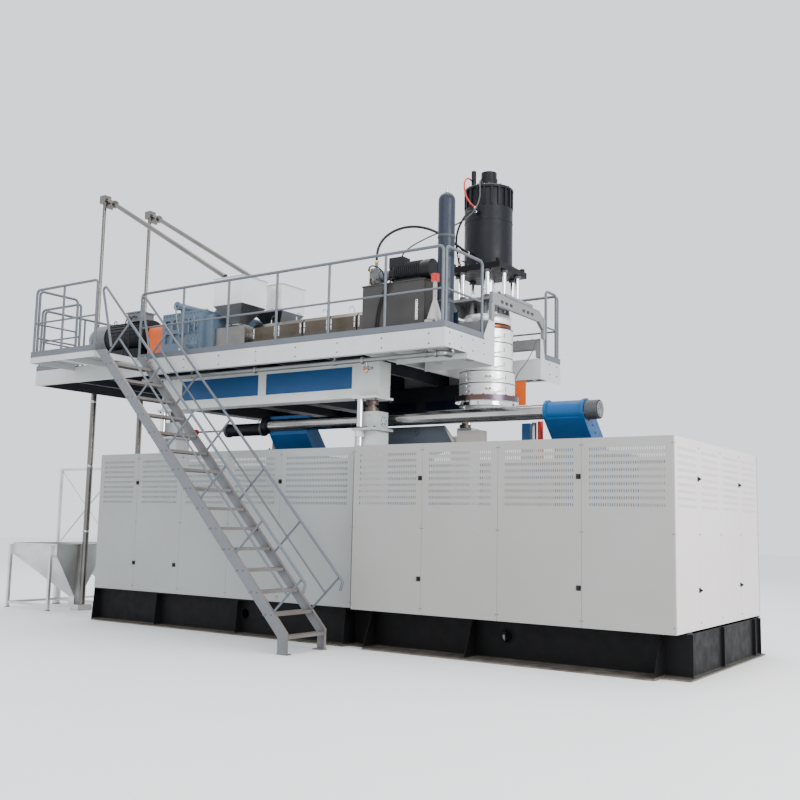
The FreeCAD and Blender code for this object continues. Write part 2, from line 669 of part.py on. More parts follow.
def stair_handrails():
    """Two hand-rail frames with square-on braces and turned-down lower ends."""
    along, up, _ = stair_direction()
    base = V(STAIR_LOW[0], 0, STAIR_LOW[1])
    shapes = []
    for y in (STAIR_Y[0] + 22, STAIR_Y[1] - 22):
        line = base + V(0, y, 0) + up * RAIL_ABOVE
        low = line + along * RAIL_SPAN[0]
        high = line + along * RAIL_SPAN[1]
        shapes.append(bent_tube([(low.x - 38, y, low.z - 120), tuple(low), tuple(high),
                                 (high.x + 297, y, high.z - 1060)], 19, 45))
        middle_line = base + V(0, y, 0) + up * MID_ABOVE
        first = FIRST_BRACE + (BRACES - 1) * BRACE_PITCH
        for i in range(BRACES):
            s = first - i * BRACE_PITCH
            rail, mid = line + along * s, middle_line + along * s
            foot = base + V(0, y, 0) + along * s + up * 0.5
            shapes.append(rod(tuple(rail - up * 19), tuple(mid + up * 14), 15))
            shapes.append(rod(tuple(mid - up * 14), tuple(foot), 15))
        shapes.append(rod(tuple(middle_line + along * (first + 15)),
                          tuple(middle_line + along * (FIRST_BRACE - 15)), 14))
    save("stair_handrails", shapes)


# ---------------------------------------------------------------- water pipe
def water_pipe():
    """Galvanised main under the front edge, with elbows and a drain valve."""
    z, y = 3872.0, -1925.0
    shapes = [rod((-3700, y, z), (1900, y, z), 32)]
    for x in (-2600, 195, 1700):
        clip = sleeve((x - 22, y, z), (x + 22, y, z), 40, 32 + FIT)
        hanger = box(x - 15, x + 15, y - 6, y + 6, z + 38, FASCIA_Z[0] - 0.5)
        shapes.append(fuse([clip, hanger]))
    shapes.append(bent_tube([(1900, y, z), (1975, y, z), (1975, y + 115, z)], 42, 55))
    shapes.append(bent_tube([(1975, y + 115, z), (1975, y + 190, z), (1975, y + 190, z + 72)],
                            42, 50))
    shapes.append(fuse([rod((740, y, z - 33), (740, y, z - 95), 22),
                        rod((700, y, z - 115), (780, y, z - 115), 30),
                        rod((780, y, z - 115), (840, y, z - 115), 20)]))
    save("water_pipe", shapes)


# ---------------------------------------------------------------- extruders
def drive_motor(dx, y):
    z = MOTOR_Z
    shroud = fuse([rod((-5915 + dx + 130, y, z), (-5432 + dx, y, z), 272),
                   Part.makeCone(215, 272, 130, V(-5915 + dx, y, z), V(1, 0, 0))])
    body = rod((-5432 + dx, y, z), (-4450 + dx, y, z), 258)
    fins = []
    for i in range(24):
        angle = 2 * math.pi * i / 24
        fin = box(-5380 + dx, -4520 + dx, y - 4, y + 4, z + 250, z + 272)
        fin.rotate(V(0, y, z), V(1, 0, 0), math.degrees(angle))
        fins.append(fin)
    body = fuse([body] + fins)
    shaft = rod((-4450 + dx, y, z), (-4330 + dx, y, z), 45)
    eye = Part.makeTorus(34, 9, V(-5470 + dx, y, z + 308), V(0, 1, 0))
    box_ = box(-4990 + dx, -4650 + dx, y - 150, y + 150, z + 250, z + 400)
    lid = box(-5010 + dx, -4630 + dx, y - 170, y + 170, z + 400, z + 425)
    feet = box(-5330 + dx, -4560 + dx, y - 235, y + 235, DECK_TOP + 160, z - 250)
    skid = box(-5500 + dx, -4420 + dx, y - 290, y + 290, DECK_TOP, DECK_TOP + 160)
    motor = fuse([shroud, body, feet, box_, lid, eye])
    return [motor, skid, shaft]


def gearbox(dx, y):
    """Coupling and two-stage gearbox: recessed first housing, taller second one, and oil cooler."""
    first = box(-3915 + dx, -3465 + dx, y - 300, y + 300, DECK_TOP + 60, 5067)
    for x in (-3850, -3665):
        for z in (4560, 4790):
            pocket = box(x + dx, x + 115 + dx, y - 301, y - 262, z, z + 160)
            first = first.cut(pocket)
    second = box(-3425 + dx, -2985 + dx, y - 300, y + 300, DECK_TOP + 60, 5080)
    nose = box(-2985 + dx, -2805 + dx, y - 240, y + 240, DECK_TOP + 60, 4990)
    shapes = [first, fuse([second, nose])]
    shapes.append(box(-3465 + dx, -3425 + dx, y - 250, y + 250, DECK_TOP + 90, 5020))
    for x in (-3890, -3400):
        shapes.append(box(x + dx, x + 400 + dx, y - 330, y + 330, DECK_TOP, DECK_TOP + 60))
    shapes.append(rod((-3915 + dx, y, MOTOR_Z), (-4060 + dx, y, MOTOR_Z), 55))
    shapes.append(rod((-4060 + dx, y, MOTOR_Z), (-4330 + dx, y, MOTOR_Z), 110))
    cx, cz = -3540.0 + dx, 5175.0
    cooler = [rod((cx, y - 330, cz), (cx, y + 330, cz), 62)]
    for s in (-1, 1):
        cooler.append(rod((cx, y + s * 330, cz), (cx, y + s * 355, cz), 74))
        cooler.append(box(cx - 40, cx + 40, y + s * 200 - 20, y + s * 200 + 20, 5067, cz - 40))
    shapes.append(fuse(cooler))
    for i in range(3):
        pipe_x = -3380 + dx + i * 130
        pipe = bent_tube([(pipe_x, y - 300, 4700), (pipe_x, y - 345, 4700),
                          (pipe_x, y - 345, 4950), (pipe_x, y - 300, 4950)], 12, 25)
        shapes.append(pipe)
    return shapes


def coupling_guard(dx, y):
    """Orange tunnel over the motor coupling."""
    out_r, in_r = 165.0, 160.0
    z = MOTOR_Z
    x0, x1 = -4415.0 + dx, -3925.0 + dx
    low = DECK_TOP
    wire = []
    for r in (out_r, in_r):
        a = V(x0, y - r, low)
        b = V(x0, y - r, z)
        c = V(x0, y + r, z)
        d = V(x0, y + r, low)
        wire.append((a, b, c, d, V(x0, y, z + r)))
    (a, b, c, d, top), (e, f, g, h, top_in) = wire
    edges = [Part.LineSegment(a, b).toShape(), Part.Arc(b, top, c).toShape(),
             Part.LineSegment(c, d).toShape(), Part.LineSegment(d, h).toShape(),
             Part.LineSegment(h, g).toShape(), Part.Arc(g, top_in, f).toShape(),
             Part.LineSegment(f, e).toShape(), Part.LineSegment(e, a).toShape()]
    return Part.Face(Part.Wire(edges)).extrude(V(x1 - x0, 0, 0))


def hopper(dx, y):
    """Open square bin on a pyramid, thin stainless sheet."""
    t = 4.0
    x0, x1 = -2775.0 + dx, -2145.0 + dx
    y0, y1 = y - 280, y + 280
    z_low, z_mid, z_top = 4815.0, 5100.0, 5555.0
    cx = (x0 + x1) / 2
    outer = box(x0, x1, y0, y1, z_mid, z_top).fuse(
        frustum((cx - 90, cx + 90, y - 90, y + 90, z_low), (x0, x1, y0, y1, z_mid)))
    inner = box(x0 + t, x1 - t, y0 + t, y1 - t, z_mid, z_top + 1).fuse(
        frustum((cx - 90 + t, cx + 90 - t, y - 90 + t, y + 90 - t, z_low),
                (x0 + t, x1 - t, y0 + t, y1 - t, z_mid)))
    bin_ = outer.cut(inner)
    flange = box(cx - 120, cx + 120, y - 120, y + 120, z_low - 12, z_low).cut(
        box(cx - 86, cx + 86, y - 86, y + 86, z_low - 13, z_low + 1))
    return [bin_.Solids[0], flange]


def barrel(dx, y):
    """Feed throat with its hopper neck, and the bored barrel."""
    z = BARREL_Z
    cx = -2460.0 + dx
    end = MANIFOLD_X[0] - 12
    bore = rod((-2806 + dx, y, z), (end + 13, y, z), SCREW_CORE_R + 18)
    throat = box(-2805 + dx, -2150 + dx, y - 190, y + 190, z - 190, z + 150)
    neck = box(cx - 100, cx + 100, y - 100, y + 100, z + 150, 4803)
    shaft_hole = box(cx - 50, cx + 50, y - 50, y + 50, z, 4804)
    tube = rod((-2150 + dx, y, z), (end - 60, y, z), BARREL_R)
    flange = rod((end - 60, y, z), (end, y, z), 165)
    body = fuse([throat, neck, tube, flange]).cut(bore).cut(shaft_hole)
    shapes = [body]
    shapes.append(box(cx - 200, cx + 200, y - 170, y + 170, DECK_TOP, z - 190))
    for x in (-1000, 300):
        shapes.append(box(x + dx, x + 80 + dx, y - 150, y + 150, DECK_TOP, z - 180))
    return shapes


def manifold():
    """Hot block that brings both melt streams to the head."""
    x0, x1 = MANIFOLD_X
    z = BARREL_Z
    body = fuse([box(x0, x1, -1245, 170, z - 80, z + 115)]
                + [rod((x0 - 12, y, z), (x0, y, z), 150) for _, y in EXTRUDERS])
    for _, y in EXTRUDERS:
        body = body.cut(rod((x0 - 13, y, z), (x0 + 70, y, z), SCREW_CORE_R + 18))
    body = body.cut(rod((x0 + 70, EXTRUDERS[0][1], z), (x0 + 70, 0, z), MELT_R))
    body = body.cut(rod((x0 + 70, 0, z), (x1 + 1, 0, z), MELT_R))
    return [body]


def heater_covers(dx, y):
    """Polished shells round the barrel, in sections with a gap between them."""
    z = BARREL_Z
    starts = [-2010.0 + i * 515.0 for i in range(5)]
    shapes = []
    for x in starts:
        half = 155.0
        top = z + 150
        ring = [(y - half, z - 150), (y - half, z + 90), (y - 95, top), (y + 95, top),
                (y + half, z + 90), (y + half, z - 150)]
        t = 5.0
        hollow = [(y - half + t, z - 150 + t), (y - half + t, z + 88), (y - 93, top - t),
                  (y + 93, top - t), (y + half - t, z + 88), (y + half - t, z - 150 + t)]
        face = pierced(outline_yz(x + dx, ring), [outline_yz(x + dx, hollow)])
        shapes.append(face.extrude(V(495, 0, 0)))
    return shapes


def extruder_screw(node, dx, y):
    """Screw core with a helical flight made as spaced rings along its length."""
    z = BARREL_Z
    root = rod((-2980 + dx, y, z), (930, y, z), SCREW_CORE_R)
    tip = Part.makeCone(SCREW_CORE_R, 12, 60, V(930, y, z), V(1, 0, 0))
    flights = []
    count = 24
    first = -2560.0 + dx
    pitch = (900.0 - first) / count
    for i in range(count):
        x = first + i * pitch
        disc = Part.makeCylinder(SCREW_CORE_R + 18 - FIT, 12, V(x, y, z), V(1, 0, 0))
        flights.append(disc)
    save(node, [fuse([root, tip] + flights)])


def extruders():
    motors, boxes, guards, bins, barrels, jackets = [], [], [], [], [], []
    for number, (dx, y) in enumerate(EXTRUDERS, 1):
        motors += drive_motor(dx, y)
        parts = gearbox(dx, y)
        z = BARREL_Z
        socket = rod((-2986 + dx, y, z), (-2804 + dx, y, z), SCREW_CORE_R + FIT)
        parts[1] = parts[1].cut(socket)
        boxes += parts
        guards.append(coupling_guard(dx, y))
        bins += hopper(dx, y)
        barrels += barrel(dx, y)
        jackets += heater_covers(dx, y)
        extruder_screw("extruder_screw_%d" % number, dx, y)
    save("drive_motors", motors)
    save("gearboxes", boxes)
    hanger = box(1565, 1785, 760, 768, 3500, 3880)
    save("orange_guards", guards + [hanger])
    save("material_hoppers", bins)
    save("extruder_barrels", barrels + manifold())
    save("heater_covers", jackets)


# ---------------------------------------------------------------- accumulator head
def head_body():
    """Head shell: die ring, hot flange, tapering outlet and plunger chamber."""
    profile = [(349, 3390), (400, 3390), (400, 3450), (465, 3450), (465, 3530),
               (392, 3530), (392, 3885), (340, 3885), (340, 4730), (205, 4730),
               (205, 4000), (125, 3900), (125, 3860)]
    shell = turned(profile, HEAD_X, 0)
    boss = box(MANIFOLD_X[1], HEAD_X - 300, -110, 110, BARREL_Z - 80, BARREL_Z + 100)
    boss = boss.cut(rod((HEAD_X, 0, 4000), (HEAD_X, 0, 4729), 300))
    melt = rod((MANIFOLD_X[1] - 1, 0, BARREL_Z), (HEAD_X - 150, 0, BARREL_Z), MELT_R)
    save("head_body", [shell.fuse(boss).Solids[0].cut(melt)])


def heater_bands():
    """Band heaters, each a clamped ring with paired terminal studs."""
    bands = ((3536, 3705, 393, 408), (3713, 3879, 393, 408), (3889, 4084, 341, 374),
             (4092, 4304, 341, 374), (4312, 4510, 341, 374))
    shapes = []
    for z0, z1, inner, outer in bands:
        ring = sleeve((HEAD_X, 0, z0), (HEAD_X, 0, z1), outer, inner)
        split = box(HEAD_X - 500, HEAD_X, -6, 6, z0 - 1, z1 + 1)
        split.rotate(V(HEAD_X, 0, 0), V(0, 0, 1), 78)
        shapes.append(ring.cut(split))
        for angle in (-62, -55):
            a = math.radians(angle)
            z = (z0 + z1) / 2
            p = (HEAD_X + outer * math.cos(a), outer * math.sin(a), z)
            q = (HEAD_X + (outer + 26) * math.cos(a), (outer + 26) * math.sin(a), z)
            shapes.append(rod(p, q, 11))
    save("heater_bands", shapes)


MANDREL_R = 60.0
PLUNGER_ROD_R = 110.0
HEAD_BORE_R = 205.0
CYLINDER_BORE_R = 255.0


def mandrel():
    """Core rod with the die cone; it rises 30 mm to close the die gap."""
    profile = [(0, 3385), (325, 3385), (325, 3400), (110, 3790), (MANDREL_R, 3850),
               (MANDREL_R, 6880), (0, 6880)]
    face = Part.Face(polygon([(HEAD_X + r, 0, z) for r, z in profile]))
    save("die_mandrel", [face.revolve(V(HEAD_X, 0, 0), V(0, 0, 1), 360).Solids[0]])


def plunger():
    """Ring plunger that pushes the melt out, on a tube rod with a piston at its top."""
    bore = MANDREL_R + FIT
    profile = [(bore, 4060), (150, 4060), (HEAD_BORE_R - FIT, 4110), (HEAD_BORE_R - FIT, 4260),
               (PLUNGER_ROD_R, 4260), (PLUNGER_ROD_R, 5600), (CYLINDER_BORE_R - FIT, 5600),
               (CYLINDER_BORE_R - FIT, 5720), (bore, 5720)]
    save("push_plunger", [turned(profile, HEAD_X, 0)])


def head_yoke():
    """Grey beams on the two arms, and the pair of bridge beams that carry the head."""
    shapes = []
    for y0, y1 in ((-848.0, FRONT_ARM_IN - 12), (BACK_ARM_IN + 12, 900.0)):
        shapes.append(box(NOTCH_X + 10, 2029, y0, y1, 4350, 4500))
        for leg in (NOTCH_X + 10, 1949):
            shapes.append(box(leg, leg + 80, y0, y1, DECK_TOP + 5, 4350))
    outline = [(-800, 4740), (-800, 4910), (640, 4910), (790, 4830), (790, 4640), (650, 4740)]
    for x in (1125.0, 2010.0):
        bridge = prism(outline_yz(x, outline), (50, 0, 0))
        for y in (-518, -381, -245, 146, 283, 419):
            bridge = bridge.cut(box(x - 1, x + 51, y - 22, y + 22, 4784, 4832))
            for end in (y - 22, y + 22):
                bridge = bridge.cut(rod((x - 1, end, 4808), (x + 51, end, 4808), 24))
        shapes.append(bridge)
        shapes.append(box(x, x + 50, -820, -740, 4500, 4739.5))
        shapes.append(box(x, x + 50, 800, 860, 4500, 4820))
    save("head_yoke", shapes)


def head_tie_rods():
    """Mounting plate, upper plate and chrome rods between head and cylinder."""
    shapes = []
    mount = box(1000, 2070, -420, 420, 4911, 4951)
    mount = mount.cut(rod((HEAD_X, 0, 4900), (HEAD_X, 0, 4960), PLUNGER_ROD_R + 3))
    shapes.append(mount)
    upper = box(HEAD_X - 425, HEAD_X + 425, -425, 425, 5360, 5449)
    upper = upper.cut(rod((HEAD_X, 0, 5350), (HEAD_X, 0, 5460), PLUNGER_ROD_R + 3))
    shapes.append(upper)
    for i in range(4):
        for d in (-125, 125):
            a = math.radians(45 + 90 * i)
            x = HEAD_X + 415 * math.cos(a) - d * math.sin(a)
            y = 415 * math.sin(a) + d * math.cos(a)
            shapes.append(rod((x, y, 4951), (x, y, 5360), 31))
    for i in range(8):
        a = math.radians(22.5 + 45 * i)
        x, y = HEAD_X + 290 * math.cos(a), 290 * math.sin(a)
        shapes.append(fuse([rod((x, y, 4731), (x, y, 4911), 30),
                            rod((x, y, 4731), (x, y, 4795), 38)]))
    for i in range(4):
        a = math.radians(45 + 90 * i)
        x, y = HEAD_X + 530 * math.cos(a), 530 * math.sin(a)
        nut = Part.makePolygon([V(x + 42 * math.cos(math.radians(60 * k)),
                                  y + 42 * math.sin(math.radians(60 * k)), 5449)
                                for k in range(7)])
        shapes.append(Part.Face(nut).extrude(V(0, 0, 52)))
    save("head_tie_rods", shapes)


def push_cylinder():
    """Hydraulic cylinder above the head: flanged barrel, slotted collar and top cap."""
    profile = [(PLUNGER_ROD_R + FIT, 5449), (366, 5449), (366, 5500), (360, 5500),
               (360, 6140), (364, 6140), (364, 6152), (360, 6152), (360, 6364),
               (345, 6364), (345, 6633), (370, 6633), (370, 6664), (357, 6677),
               (150, 6677), (150, 6740), (130, 6740), (130, 6850), (118, 6850), (118, 6950),
               (MANDREL_R + 2, 6950), (MANDREL_R + FIT, 6550), (CYLINDER_BORE_R, 6550),
               (CYLINDER_BORE_R, 5580), (PLUNGER_ROD_R + FIT, 5580)]
    shell = turned(profile, HEAD_X, 0)
    ribs = []
    for i in range(20):
        rib = box(344, 368, -16, 16, 6365, 6632)
        rib.rotate(V(0, 0, 0), V(0, 0, 1), 18 * i)
        rib.translate(V(HEAD_X, 0, 0))
        ribs.append(rib)
    shell = shell.fuse(ribs).Solids[0]
    plug = rod((HEAD_X - 153, -190, 6678), (HEAD_X - 153, -190, 6950), 36)
    outlet = fuse([rod((HEAD_X - 153, -220, 6800), (HEAD_X - 153, -262, 6800), 16),
                   rod((HEAD_X - 153, -227, 6800), (HEAD_X - 153, -240, 6800), 22)])
    port = fuse([rod((HEAD_X + 23, -361, 6233), (HEAD_X + 23, -410, 6233), 26),
                 rod((HEAD_X + 25, -416.5, 6282.5), (HEAD_X + 58, -392, 6245), 14)])
    low_port = rod((HEAD_X - 85, -352, 5620), (HEAD_X - 85, -429, 5620), 26)
    drain = rod((HEAD_X - 350, -250, 5450), (HEAD_X - 350, -250, 5505.5), 24)
    side_port = rod((HEAD_X + 39, -131, 6715), (HEAD_X + 39, -185, 6715), 16)
    save("push_cylinder", [shell, fuse([plug, outlet]), port, low_port, drain, side_port])


# ---------------------------------------------------------------- clamp
def bracket_plate(x, thick):
    """Flange plate round the upper tie bar, sloping down and inward to the platen."""
    r = 150.0
    pts = []
    for k in range(0, 13):
        a = math.radians(215 - 170 * k / 12)
        pts.append((-TIE_Y + r * math.cos(a), TIE_TOP_Z + r * math.sin(a)))
    pts += [(-300, PLATEN_Z[1] - 1), (-PLATEN_HALF + 60, PLATEN_Z[1] - 1)]
    return prism(outline_yz(x, pts), (thick, 0, 0))


def platen_body(span, inner_x):
    """Slab with deep ribs and the lower back tie-bar ear; inner_x is the mould face."""
    x0, x1 = span
    z0, z1 = PLATEN_Z
    h = PLATEN_HALF
    slab_x = (x0, x0 + 240) if inner_x == x0 else (x1 - 240, x1)
    far = (slab_x[1], x1) if inner_x == x0 else (x0, slab_x[0])
    shapes = [box(slab_x[0], slab_x[1], -h, h, z0, z1)]
    for y in (-h, -h / 2 - 20, h / 2 - 20, h - 40):
        shapes.append(box(far[0], far[1], y, y + 40, z0, z1))
    for z in (z0, 1240.0, 1920.0, z1 - 40):
        shapes.append(box(far[0], far[1], -h, h, z, z + 40))
    shapes.append(box(x0, x1, h - 1, TIE_Y + 150, TIE_LOW_Z - 150, TIE_LOW_Z + 150))
    return shapes


def bored(shapes, span):
    """One casting from the shapes, with its tie-bar and ram bores, and its slide shoes."""
    x0, x1 = span
    body = shapes[0].fuse(shapes[1:])
    for y, z in TIE_BARS:
        body = body.cut(rod((x0 - 1, y, z), (x1 + 1, y, z), TIE_R + FIT))
    body = body.cut(rod((x0 - 1, 0, CLAMP_AXIS_Z), (x1 + 1, 0, CLAMP_AXIS_Z), 152))
    shoes = []
    for y in (-620.0, 620.0):
        for x in (x0, x1 - 200):
            shoes.append(box(x, x + 200, y - 70, y + 70, 617, PLATEN_Z[0]))
    return [max(body.Solids, key=lambda part: part.Volume)] + shoes


def right_platen():
    """End platen whose upper bracket is a block between two round-ended plates."""
    x0, x1 = RIGHT_PLATEN_X
    shapes = platen_body(RIGHT_PLATEN_X, x0)
    for x in (x0, x1 - 40):
        shapes.append(bracket_plate(x, 40))
    block = [(-1086, 3054), (-732, 2699), (-308, 2699), (-874, 3266)]
    shapes.append(prism(outline_yz(x0 + 39, block), (x1 - x0 - 78, 0, 0)))
    shapes.append(rod((x0 + 39, -TIE_Y, TIE_TOP_Z), (x1 - 39, -TIE_Y, TIE_TOP_Z), 130))
    parts = bored(shapes, RIGHT_PLATEN_X)
    parts.append(box(2440, 2560, -640, -560, 2300, 3060))
    parts.append(box(2560, x0 - 0.5, -640, -560, 2300, 2500))
    parts.append(rod((2610, -600, 2500.5), (2610, -600, 3070), 34))
    parts.append(rod((2700, -600, 2500.5), (2700, -600, 3080), 38))
    save("right_platen", parts)


def rear_platen():
    """End platen whose upper bar lies in a sloping web, half of it showing in front."""
    x0, x1 = REAR_PLATEN_X
    shapes = platen_body(REAR_PLATEN_X, x1)
    web = [(-985, 3010), (-985, 3300), (-870, 3300), (-400, 2699), (-760, 2699)]
    bracket = prism(outline_yz(x0 - REAR_WEB_BACK, web), (x1 - x0 + REAR_WEB_BACK, 0, 0))
    shapes.append(bracket.cut(rod((x0 - REAR_WEB_BACK - 1, -TIE_Y, TIE_TOP_Z),
                                  (x1 + 1, -TIE_Y, TIE_TOP_Z), TIE_R + FIT)))
    save("rear_platen", bored(shapes, REAR_PLATEN_X))


def platens():
    right_platen()
    rear_platen()
    x0, x1 = MIDDLE_PLATEN_X
    h = PLATEN_HALF - 10
    body = box(x0, x1, -h, h, 640, 2720)
    grooves = []
    for z in (900, 1250, 1600, 1950, 2300):
        grooves.append(box(x1 - 30, x1 + 1, -h - 1, h + 1, z, z + 26))
    body = body.cut(Part.makeCompound(grooves))
    arm = [(x1 - 60, 2500), (x1 + 700, 2500), (1500, 2760), (1500, 2840), (1330, 3055),
           (x1 - 60, 3055)]
    shapes = [body, box(1545, 1935, -860, -700, 2750, 2970),
              box(1400, 1545, -819, -760, 2790, 2900)]
    shapes.append(prism(outline_xz(-860, arm), (0, 40, 0)))
    shapes.append(box(x0, x1, -820, -h - 0.5, 2300, 3055))
    shapes.append(Part.makeTorus(36, 9, V(875, -874, 2975), V(0, 1, 0)))
    for y in (-620.0, 620.0):
        shapes.append(box(x0, x1, y - 70, y + 70, 617, 640))
    save("middle_platen", shapes)


def tie_bars():
    x1 = RIGHT_PLATEN_X[1] + 0.5
    shapes = []
    for y, z in TIE_BARS:
        bar = rod((-1895, y, z), (x1, y, z), TIE_R)
        nut = rod((x1, y, z), (x1 + 175, y, z), 118)
        shapes.append(fuse([bar, nut]))
    save("tie_bars", shapes)


def lock_cylinders():
    """Black locking cylinders behind the rear platen, with travel sensors."""
    shapes = []
    back = REAR_PLATEN_X[0]
    for y, top in TIE_BARS:
        z = top - 50
        face = back - REAR_WEB_BACK if top == TIE_TOP_Z else back
        collar = sleeve((-1890, y, top), (face - 0.5, y, top), 132, TIE_R + 0.5)
        shapes.append(collar)
        shapes.append(fuse([rod((-2700, y, z), (-1905, y, z), 100),
                            rod((-3400, y, z), (-2700, y, z), 14),
                            rod((-3505, y, z), (-3400, y, z), 45)]))
    return shapes


def clamp_drive():
    z = CLAMP_AXIS_Z
    x_end = REAR_PLATEN_X[0]
    tube = sleeve((-3000, 0, z), (x_end - 0.5, 0, z), 215, 165)
    cap = rod((-3040, 0, z), (-3000, 0, z), 225)
    gland = sleeve((x_end - 60, 0, z), (x_end - 0.5, 0, z), 170, 150 + FIT)
    barrel_body = fuse([tube, cap, gland])
    save("clamp_cylinder", [barrel_body] + lock_cylinders())
    piston = rod((-2960, 0, z), (-2880, 0, z), 165 - FIT)
    shaft = rod((-2960, 0, z), (MIDDLE_PLATEN_X[0] - 0.5, 0, z), 150)
    save("clamp_rod", [fuse([piston, shaft])])


# ---------------------------------------------------------------- hydraulics on the platform
def hydraulic_unit():
    x0, x1 = 555.0, 1575.0
    y0, y1 = -1800.0, -1300.0
    tank = box(x0, x1, y0, y1, DECK_TOP, 4925)
    lid = box(x0 - 12, x1 + 12, y0 - 12, y1 + 12, 4925, 4940)
    shapes = [fuse([tank, lid])]
    breather = turned([(0, 4330), (105, 4330), (105, 4345), (40, 4560), (28, 4600),
                       (28, 4845), (0, 4845)], 1790, -1870)
    foot = box(1690, 1890, -1960, -1780, DECK_TOP, 4330)
    shapes.append(fuse([breather, foot]))
    shapes.append(rod((1790, -1870, 4845), (1790, -1870, 4950), 56))
    save("oil_tank", shapes)
    y, z = -1550.0, 5120.0
    motor = fuse([rod((960, y, z), (1440, y, z), 138), rod((1440, y, z), (1560, y, z), 146),
                  rod((880, y, z), (960, y, z), 100),
                  box(900, 1130, y - 120, y + 60, 5180, 5330),
                  box(980, 1420, y - 110, y + 110, 4940, 5010)])
    pump = fuse([rod((560, y, z), (700, y, z), 92), rod((700, y, z), (880, y, z), 70),
                 box(545, 655, y - 90, y + 90, 4940, 5230)])
    port = rod((600, y, 5230), (600, y, 5330), 22)
    save("pump_motor", [motor, pump, port])
    ax, ay, r = 1785.0, -1600.0, 114.0
    body = rod((ax, ay, DECK_TOP + 120), (ax, ay, 6140 - r), r)
    domes = [Part.makeSphere(r, V(ax, ay, 6140 - r)), Part.makeSphere(r, V(ax, ay, DECK_TOP + 120))]
    ring = sleeve((ax, ay, DECK_TOP), (ax, ay, DECK_TOP + 60), 112, 60)
    strap = box(ax - 130, ax + 130, ay + r + 1, ay + r + 16, DECK_TOP, 4500)
    save("gas_accumulator", [fuse([body] + domes), ring, strap])


# ---------------------------------------------------------------- raw-material feed
FEED_X = -6505.0
FEED_Y = (-640.0, 480.0)
FEED_TOP = 7700.0
FEED_R = 54.0
UPPER_FEED_R = 28.0
SLANT_R = 42.0
FEED_STEP_Z = 4150.0


def floor_hopper(y_tube):
    """Four-legged bin with a one-sided pyramid that drains to the feed tube's foot."""
    t = 4.0
    x0, x1 = -7885.0, -6600.0
    y0, y1 = y_tube - 540, y_tube + 460
    out = (-6790.0, -6640.0, y_tube - 75, y_tube + 75, 230.0)
    rim_out = (x0, x1, y0, y1, 980.0)
    outer = box(x0, x1, y0, y1, 980, 1185).fuse(frustum(out, rim_out))
    inner = box(x0 + t, x1 - t, y0 + t, y1 - t, 980, 1186).fuse(frustum(
        (out[0] + t, out[1] - t, out[2] + t, out[3] - t, 230.0),
        (x0 + t, x1 - t, y0 + t, y1 - t, 980.0)))
    shapes = [outer.cut(inner).Solids[0]]
    leg = 50.0
    for x in (x0 - 1 - leg, x1 - leg - 105):
        for y in (y0 - 1 - leg, y1 + 1):
            shapes.append(box(x, x + leg, y, y + leg, 0, 1150))
    for y in (y0 - 1 - leg, y1 + 1):
        shapes.append(box(x0 - 1, x1 - leg - 105, y + 10, y + 40, 70, 110))
    for x in (x0 - 1 - leg,):
        shapes.append(box(x + 10, x + 40, y0 - 1, y1 + 1, 70, 110))
    foot = box(-6640, FEED_X + 90, y_tube - 150, y_tube + 150, 0, 98)
    chute = box(-6795, -6635, y_tube - 80, y_tube + 80, 60, 229)
    shapes.append(foot)
    shapes.append(chute.cut(box(-6641, -6634, y_tube - 80, y_tube + 80, 59, 98)))
    return shapes


def bag_stand():
    """Braced frame standing behind the first bin."""
    x0, x1, y, s = -8045.0, -6345.0, -120.0, 46.0
    top = 2620.0
    shapes = [box(x0, x0 + s, y, y + s, 0, top), box(x1 - s, x1, y, y + s, 0, top),
              box(x0 + s, x1 - s, y, y + s, top - s, top),
              box(x0 + s, x1 - s, y, y + s, 1080, 1080 + s)]
    low, high = 1080.0 + s, top - s
    w = 24.0
    pts = [(x0 + s, high), (x0 + s, high - w), (x1 - s, low), (x1 - s, low + w)]
    shapes.append(prism(outline_xz(y + 26, pts), (0, 16, 0)))
    pts = [(x0 + s, low), (x0 + s, low + w), (x1 - s, high), (x1 - s, high - w)]
    shapes.append(prism(outline_xz(y + 4, pts), (0, 16, 0)))
    return shapes


def raw_material_feed():
    shapes = []
    for y in FEED_Y:
        shapes += floor_hopper(y)
    save("floor_hoppers", shapes + bag_stand())
    tubes = []
    for (dx, hy), y in zip(EXTRUDERS, FEED_Y):
        tubes.append(fuse([rod((FEED_X, y, 99), (FEED_X, y, FEED_STEP_Z), FEED_R),
                           rod((FEED_X, y, FEED_STEP_Z), (FEED_X, y, FEED_TOP - 60),
                               UPPER_FEED_R)]))
        tubes.append(box(FEED_X - 75, FEED_X + 75, y - 75, y + 75, FEED_TOP - 60,
                         FEED_TOP + 90))
        start = V(FEED_X + 76, y, FEED_TOP + 10)
        end = V(-2810 + dx, hy, 5660)
        direction = (end - start).normalize()
        tubes.append(rod(tuple(start), tuple(end), SLANT_R))
        collar = start + direction * 260
        tubes.append(sleeve(tuple(collar), tuple(collar + direction * 40), 74, SLANT_R + FIT))
        foot = start + direction * 40
        tubes.append(box(foot.x - 20, foot.x + 20, foot.y - 90, foot.y + 90,
                         foot.z - 160, foot.z - 60))
    save("feed_tubes", tubes)


